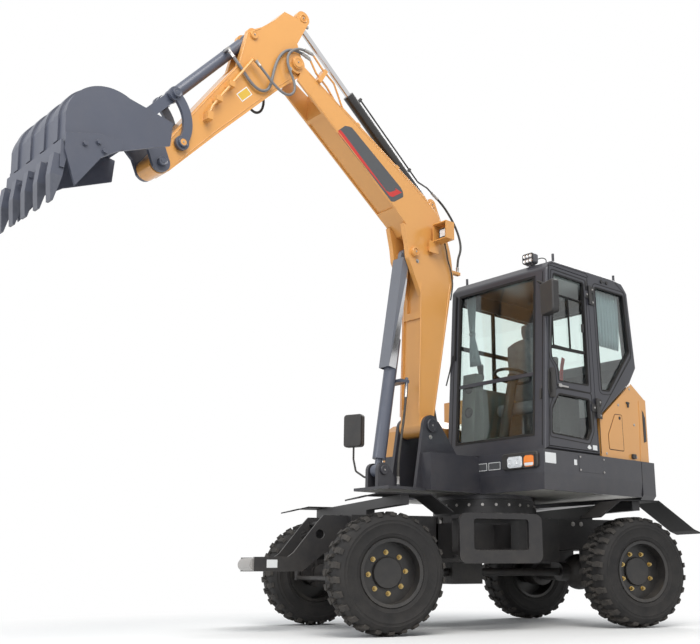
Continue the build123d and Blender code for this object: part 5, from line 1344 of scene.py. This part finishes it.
# %% Pin caps, nipples and keepers
PIN_CAPS = (
    # pin, body, face of the plate, cap radius, cap height, keeper bolt beside it, finish
    ("boom_foot", "upper", 158, 54, 21, (8, 158, -92), dark_paint),
    ("boom_cylinder_foot", "upper", 72, 36, 15, None, dark_paint),
    ("boom_cylinder_eye", "boom_body", 130, 38, 7, (-34, 110, -72), orange_paint),
    ("arm", "boom_body", 130, 42, 7, (58, 110, -70), orange_paint),
    ("arm_cylinder_foot", "boom_body", 62, 30, 14, None, orange_paint),
    ("arm_cylinder_eye", "arm_body", 85, 34, 8, (-52, 65, -48), orange_paint),
    ("bucket_cylinder_foot", "arm_body", 85, 32, 18, None, orange_paint),
    ("side_link", "arm_body", 118, 34, 15, None, link_paint),
)


def cap_profile(radius, height):
    """A cap with a rounded rim and a dish in its middle."""
    return ((0, height - 4), (radius * 0.5, height - 4), (radius * 0.56, height - 7),
            (radius * 0.64, height - 7), (radius * 0.7, height), (radius - 3, height),
            (radius, height - 3), (radius, -1))


def nipple_profile(height):
    return (0, height + 5), (3, height + 5), (4.5, height + 1), (7, height + 1), (7, height - 5)


def both_ends(pin, face):
    """The two places of a pin's ends, each with its axis outwards."""
    x, z = PINS[pin]
    return [axis_place(x, side * face, z, (0, side, 0)) for side in (1, -1)]


keepers = {"upper": [], "boom_body": [], "arm_body": []}
for pin, body, face, radius, height, keeper, look in PIN_CAPS:
    places = both_ends(pin, face)
    turned("cap_" + pin, body, look, [(cap_profile(radius, height), place, 32) for place in places],
           35)
    turned("nipple_" + pin, body, steel, [(nipple_profile(height), place, 10) for place in places],
           35)
    if keeper:
        x, z = PINS[pin]
        keepers[body] += both_sides([(x + keeper[0], keeper[1], z + keeper[2])])
for body, rows in keepers.items():
    bolts("keeper_bolts_" + body, body, rows, 11, 9, 17, steel)
print("pin caps", len(PIN_CAPS), "keeper bolts", sum(len(rows) for rows in keepers.values()))

# %% [markdown]
# A hose ends in a bright crimped ferrule. It sits on the first stretch of the hose, so its place
# and direction are read from the hose's own route. The fittings it screws into are bright too.

# %% Ferrules
ROUTES = {row[0]: row[4] for row in HOSES}
FITTINGS = (
    # node, hoses that it holds, the end of their routes that it holds
    ("arm_barrel", ("arm_cylinder_hose",), 0),
    ("boom_barrel", ("boom_cylinder_hose_l", "boom_cylinder_hose_r"), 0),
    ("bucket_barrel", ("arm_hose_a",), 0),
    ("boom", ("arm_hose_a", "arm_hose_b", "arm_hose_c"), -1),
)
FITTING_REACH = 44


def ferrule_profile(length):
    return ((10.4, -4), (15, -4), (15, 4), (13.4, 6), (13.4, length - 8), (14.4, length - 6),
            (14.4, length - 2), (12, length), (10.4, length), (10.4, -4))


ferrules = {"arm_body": [], "boom_body": [], "arm_tube": [], "boom_tube": [], "upper": []}
for name, ends, _, _, route in HOSES:
    length = 46 if "arm" in name else 58
    for body, first, second in ((ends[0], route[0], route[1]), (ends[1], route[-1], route[-2])):
        direction = (Vector(second) - Vector(first)).normalized()
        ferrules[body].append((ferrule_profile(length), axis_place(*first, direction), 20))
for body, rows in ferrules.items():
    turned("ferrules_" + body, body, steel, rows, 35)
for node_name, names, end in FITTINGS:
    spots = [Vector(ROUTES[name][end]) for name in names]
    paint_faces(node_name, steel, lambda p, n: min((p - s).length for s in spots) < FITTING_REACH)
print("ferrules", sum(len(rows) for rows in ferrules.values()))

# %% [markdown]
# The boom cylinder's rod is chrome, and a folded guard lies along it. Both are one CAD node, so
# the guard's faces are found by their distance from the rod's own line.

# %% Guard of the boom cylinder's rod
guard_paint = finish("guard_paint", (0.125, 0.135, 0.16), 0.34, coat=0.3, mottle=0.08, dust=0.08,
                     dust_top=4.0, wear=0.3)
ROD_FOOT, ROD_EYE = Vector(PINS["boom_cylinder_foot"]), Vector(PINS["boom_cylinder_eye"])
GUARD_MIDDLE = ROD_FOOT.lerp(ROD_EYE, 0.75)
ROD_ALONG = (ROD_EYE - ROD_FOOT).normalized()
GUARD_REACH, ROD_CLEAR = 900, 31


def on_guard(p, n):
    offset = Vector((p.x, p.z)) - ROD_FOOT
    off_line = abs(offset.x * ROD_ALONG.y - offset.y * ROD_ALONG.x)
    return (Vector((p.x, p.z)) - GUARD_MIDDLE).length < GUARD_REACH and off_line > ROD_CLEAR


paint_faces("boom_rod", guard_paint, on_guard)

# %% [markdown]
# The bucket is dark paint worn to bare steel where it digs. The tooth tips, the wear straps and
# the cutting edge are brighter, and three bolts hold each side cutter.

# %% Bucket and links
worn_steel = finish("worn_steel", (0.085, 0.092, 0.115), 0.38, metal=0.4, mottle=0.3,
                    mottle_scale=18, dust=0.1, dust_top=6.0)
paint_faces("bucket", worn_steel, lambda p, n: p.z < 2600 and p.x > 3900)
CUTTER_BOLTS = ((3800, 412, 2905), (3880, 412, 2870), (3760, 412, 2860))
TOOTH_STEP = 154.5
LINK_CAP = ((0, 9), (13, 9), (16, 6), (21, 6), (28, 9), (31, 6), (31, -1))
bolts("side_cutter_bolts", "bucket_body", both_sides(CUTTER_BOLTS), 15, 12, 20, bucket_paint)
tooth_pins = [(4030, TOOTH_STEP * i + side * 31, 2735, (0, side, 0)) for i in range(-2, 3)
              for side in (1, -1)]
bolts("tooth_pins", "bucket_body", tooth_pins, 9, 6, 13, bucket_paint, sides=12)
PLAIN_CAPS = (("bucket", "bucket_body", 140), ("rod_eye", "side_link_pair", 132),
              ("tipping_link", "bucket_body", 134))
for pin, body, face in PLAIN_CAPS:
    turned("cap_" + pin, body, link_paint,
           [(LINK_CAP, place, 28) for place in both_ends(pin, face)], 35)
print("tooth pins", len(tooth_pins))

# %% [markdown]
# What is left are the small working parts. The lamp on the boom has a lens in a black housing and
# a loose cable, the mirrors have glass, and a wiper lies on the windscreen.

# %% Lamp cable, mirrors and wiper
paint_faces("boom", lamp_lens, lambda p, n: p.x > 700 and 195 < p.y < 279 and 3125 < p.z < 3211)
paint_faces("boom", black_plastic, lambda p, n: 640 < p.x <= 700 and 190 < p.y < 284
            and 3120 < p.z < 3216)
lines("boom_lamp_rim", black_plastic, front_surface(714),
      [(rect(201, 273, 3132, 3204, 8), 7, 0, 4)], "boom_body")
LAMP_CABLE = ((586, 130, 3150), (558, 130, 3069), (544, 128, 2991), (508, 126, 2929),
              (488, 124, 2842), (478, 122, 2774), (498, 112, 2652))
piece("boom_lamp_cable", tube_mesh(smooth_curve("cable", LAMP_CABLE, 8), 6, 3), "boom_body",
      hose_black, smooth=60)
mirror_glass = finish("mirror_glass", (0.80, 0.82, 0.84), 0.06, metal=1.0, mottle=0.03, dust=0.05,
                      dust_top=4.0, bump=0.002)
paint_faces("mirrors", mirror_glass, lambda p, n: n.x < -0.9 and p.z > 1400)
lines("wiper_arm", black_plastic, WINDSCREEN,
      [(((-190, 1990), (-150, 2120), (-122, 2250)), 9, 6, 14)], closed=False)
lines("wiper_blade", rubber_seal, WINDSCREEN,
      [([(-96, 2200), (-100, 2490), (-98, 2780)], 12, 2, 12)], closed=False)
print("lamp cable, mirrors and wiper done")

# %% [markdown]
# The slewing ring is bolted all round, and the steps have rows of teeth so that a muddy boot
# doesn't slip. All of this stays with the ground.

# %% Slewing ring and steps
RING_BOLTS, RING_BOLT_CIRCLE = 24, 420
ring_bolts = []
for i in range(RING_BOLTS):
    angle = 2 * math.pi * i / RING_BOLTS
    across, along = math.sin(angle), math.cos(angle)
    ring_bolts.append((RING_X + RING_BOLT_CIRCLE * along, RING_BOLT_CIRCLE * across, 948,
                       (along, across, 0)))
bolts("slew_ring_bolts", "chassis", ring_bolts, 9, 7, 12, steel, CHASSIS)
paint_faces("upper_frame", galvanised, lambda p, n: n.z < -0.8 and p.z < 1035)
TOOTH_PITCH = 23
STEPS = (
    # height, x from and to, y from and to
    (843, -1136, -671, 690, 898),
    (576, -1130, -690, 690, 880),
)
teeth = []
for z, x0, x1, y0, y1 in STEPS:
    for i in range((x1 - x0) // TOOTH_PITCH):
        x = x0 + TOOTH_PITCH * i
        tooth = ((x, z - 2), (x + 15, z - 2), (x + 7.5, z + 9))
        teeth += [(tooth, y0, y1), (tooth, -y1, -y0)]
slabs("step_teeth", chassis_paint, side_surface(0), teeth, "chassis", CHASSIS)
print("ring bolts", len(ring_bolts), "step teeth", len(teeth))

# %% [markdown]
# The front bracket has a small pale label and a hole rubbed bright by its shackle. Flanges join the
# chassis beams, and a folded lip stiffens both edges of each mudguard.

# %% Front bracket, flanges and mudguard lips
slabs("bracket_label", white_label, side_surface(203), [(rect(600, 680, 462, 520, 3), 0, 0.8)],
      "chassis", CHASSIS)
SHACKLE_HOLE = Vector((756, 0, 488))
paint_faces("front_bracket", steel, lambda p, n: p.x > 705
            and (Vector((p.x, 0, p.z)) - SHACKLE_HOLE).length < 49, CHASSIS)
FLANGE_BOLTS = ((-663, 330, 805), (-663, 330, 661), (-1922, 300, 811), (-2002, 300, 811))
bolts("frame_bolts", "chassis", both_sides(FLANGE_BOLTS), 13, 10, 19, steel, CHASSIS)
for side, end in ((1, "left"), (-1, "right")):
    lines("frame_flange_" + end, chassis_paint, side_surface(side * 330, side),
          [([(-640, 610), (-640, 840)], 14, -2, 34), ([(-686, 610), (-686, 840)], 8, -2, 26)],
          "chassis", CHASSIS, closed=False)
GUARD_TOPS = (((250, 930), (94, 968), (-295, 968), (-469, 848)),
              ((-1745, 836), (-1898, 942), (-1940, 968), (-2305, 968), (-2640, 748), (-2705, 724)))
LIP_EDGES = (676, 964, -676, -964)
lips = [(profile, 5, y - 5, y + 5) for profile in GUARD_TOPS for y in LIP_EDGES]
lines("mudguard_lips", guard_sheet, side_surface(0), lips, "chassis", CHASSIS, closed=False)
print("small parts done")
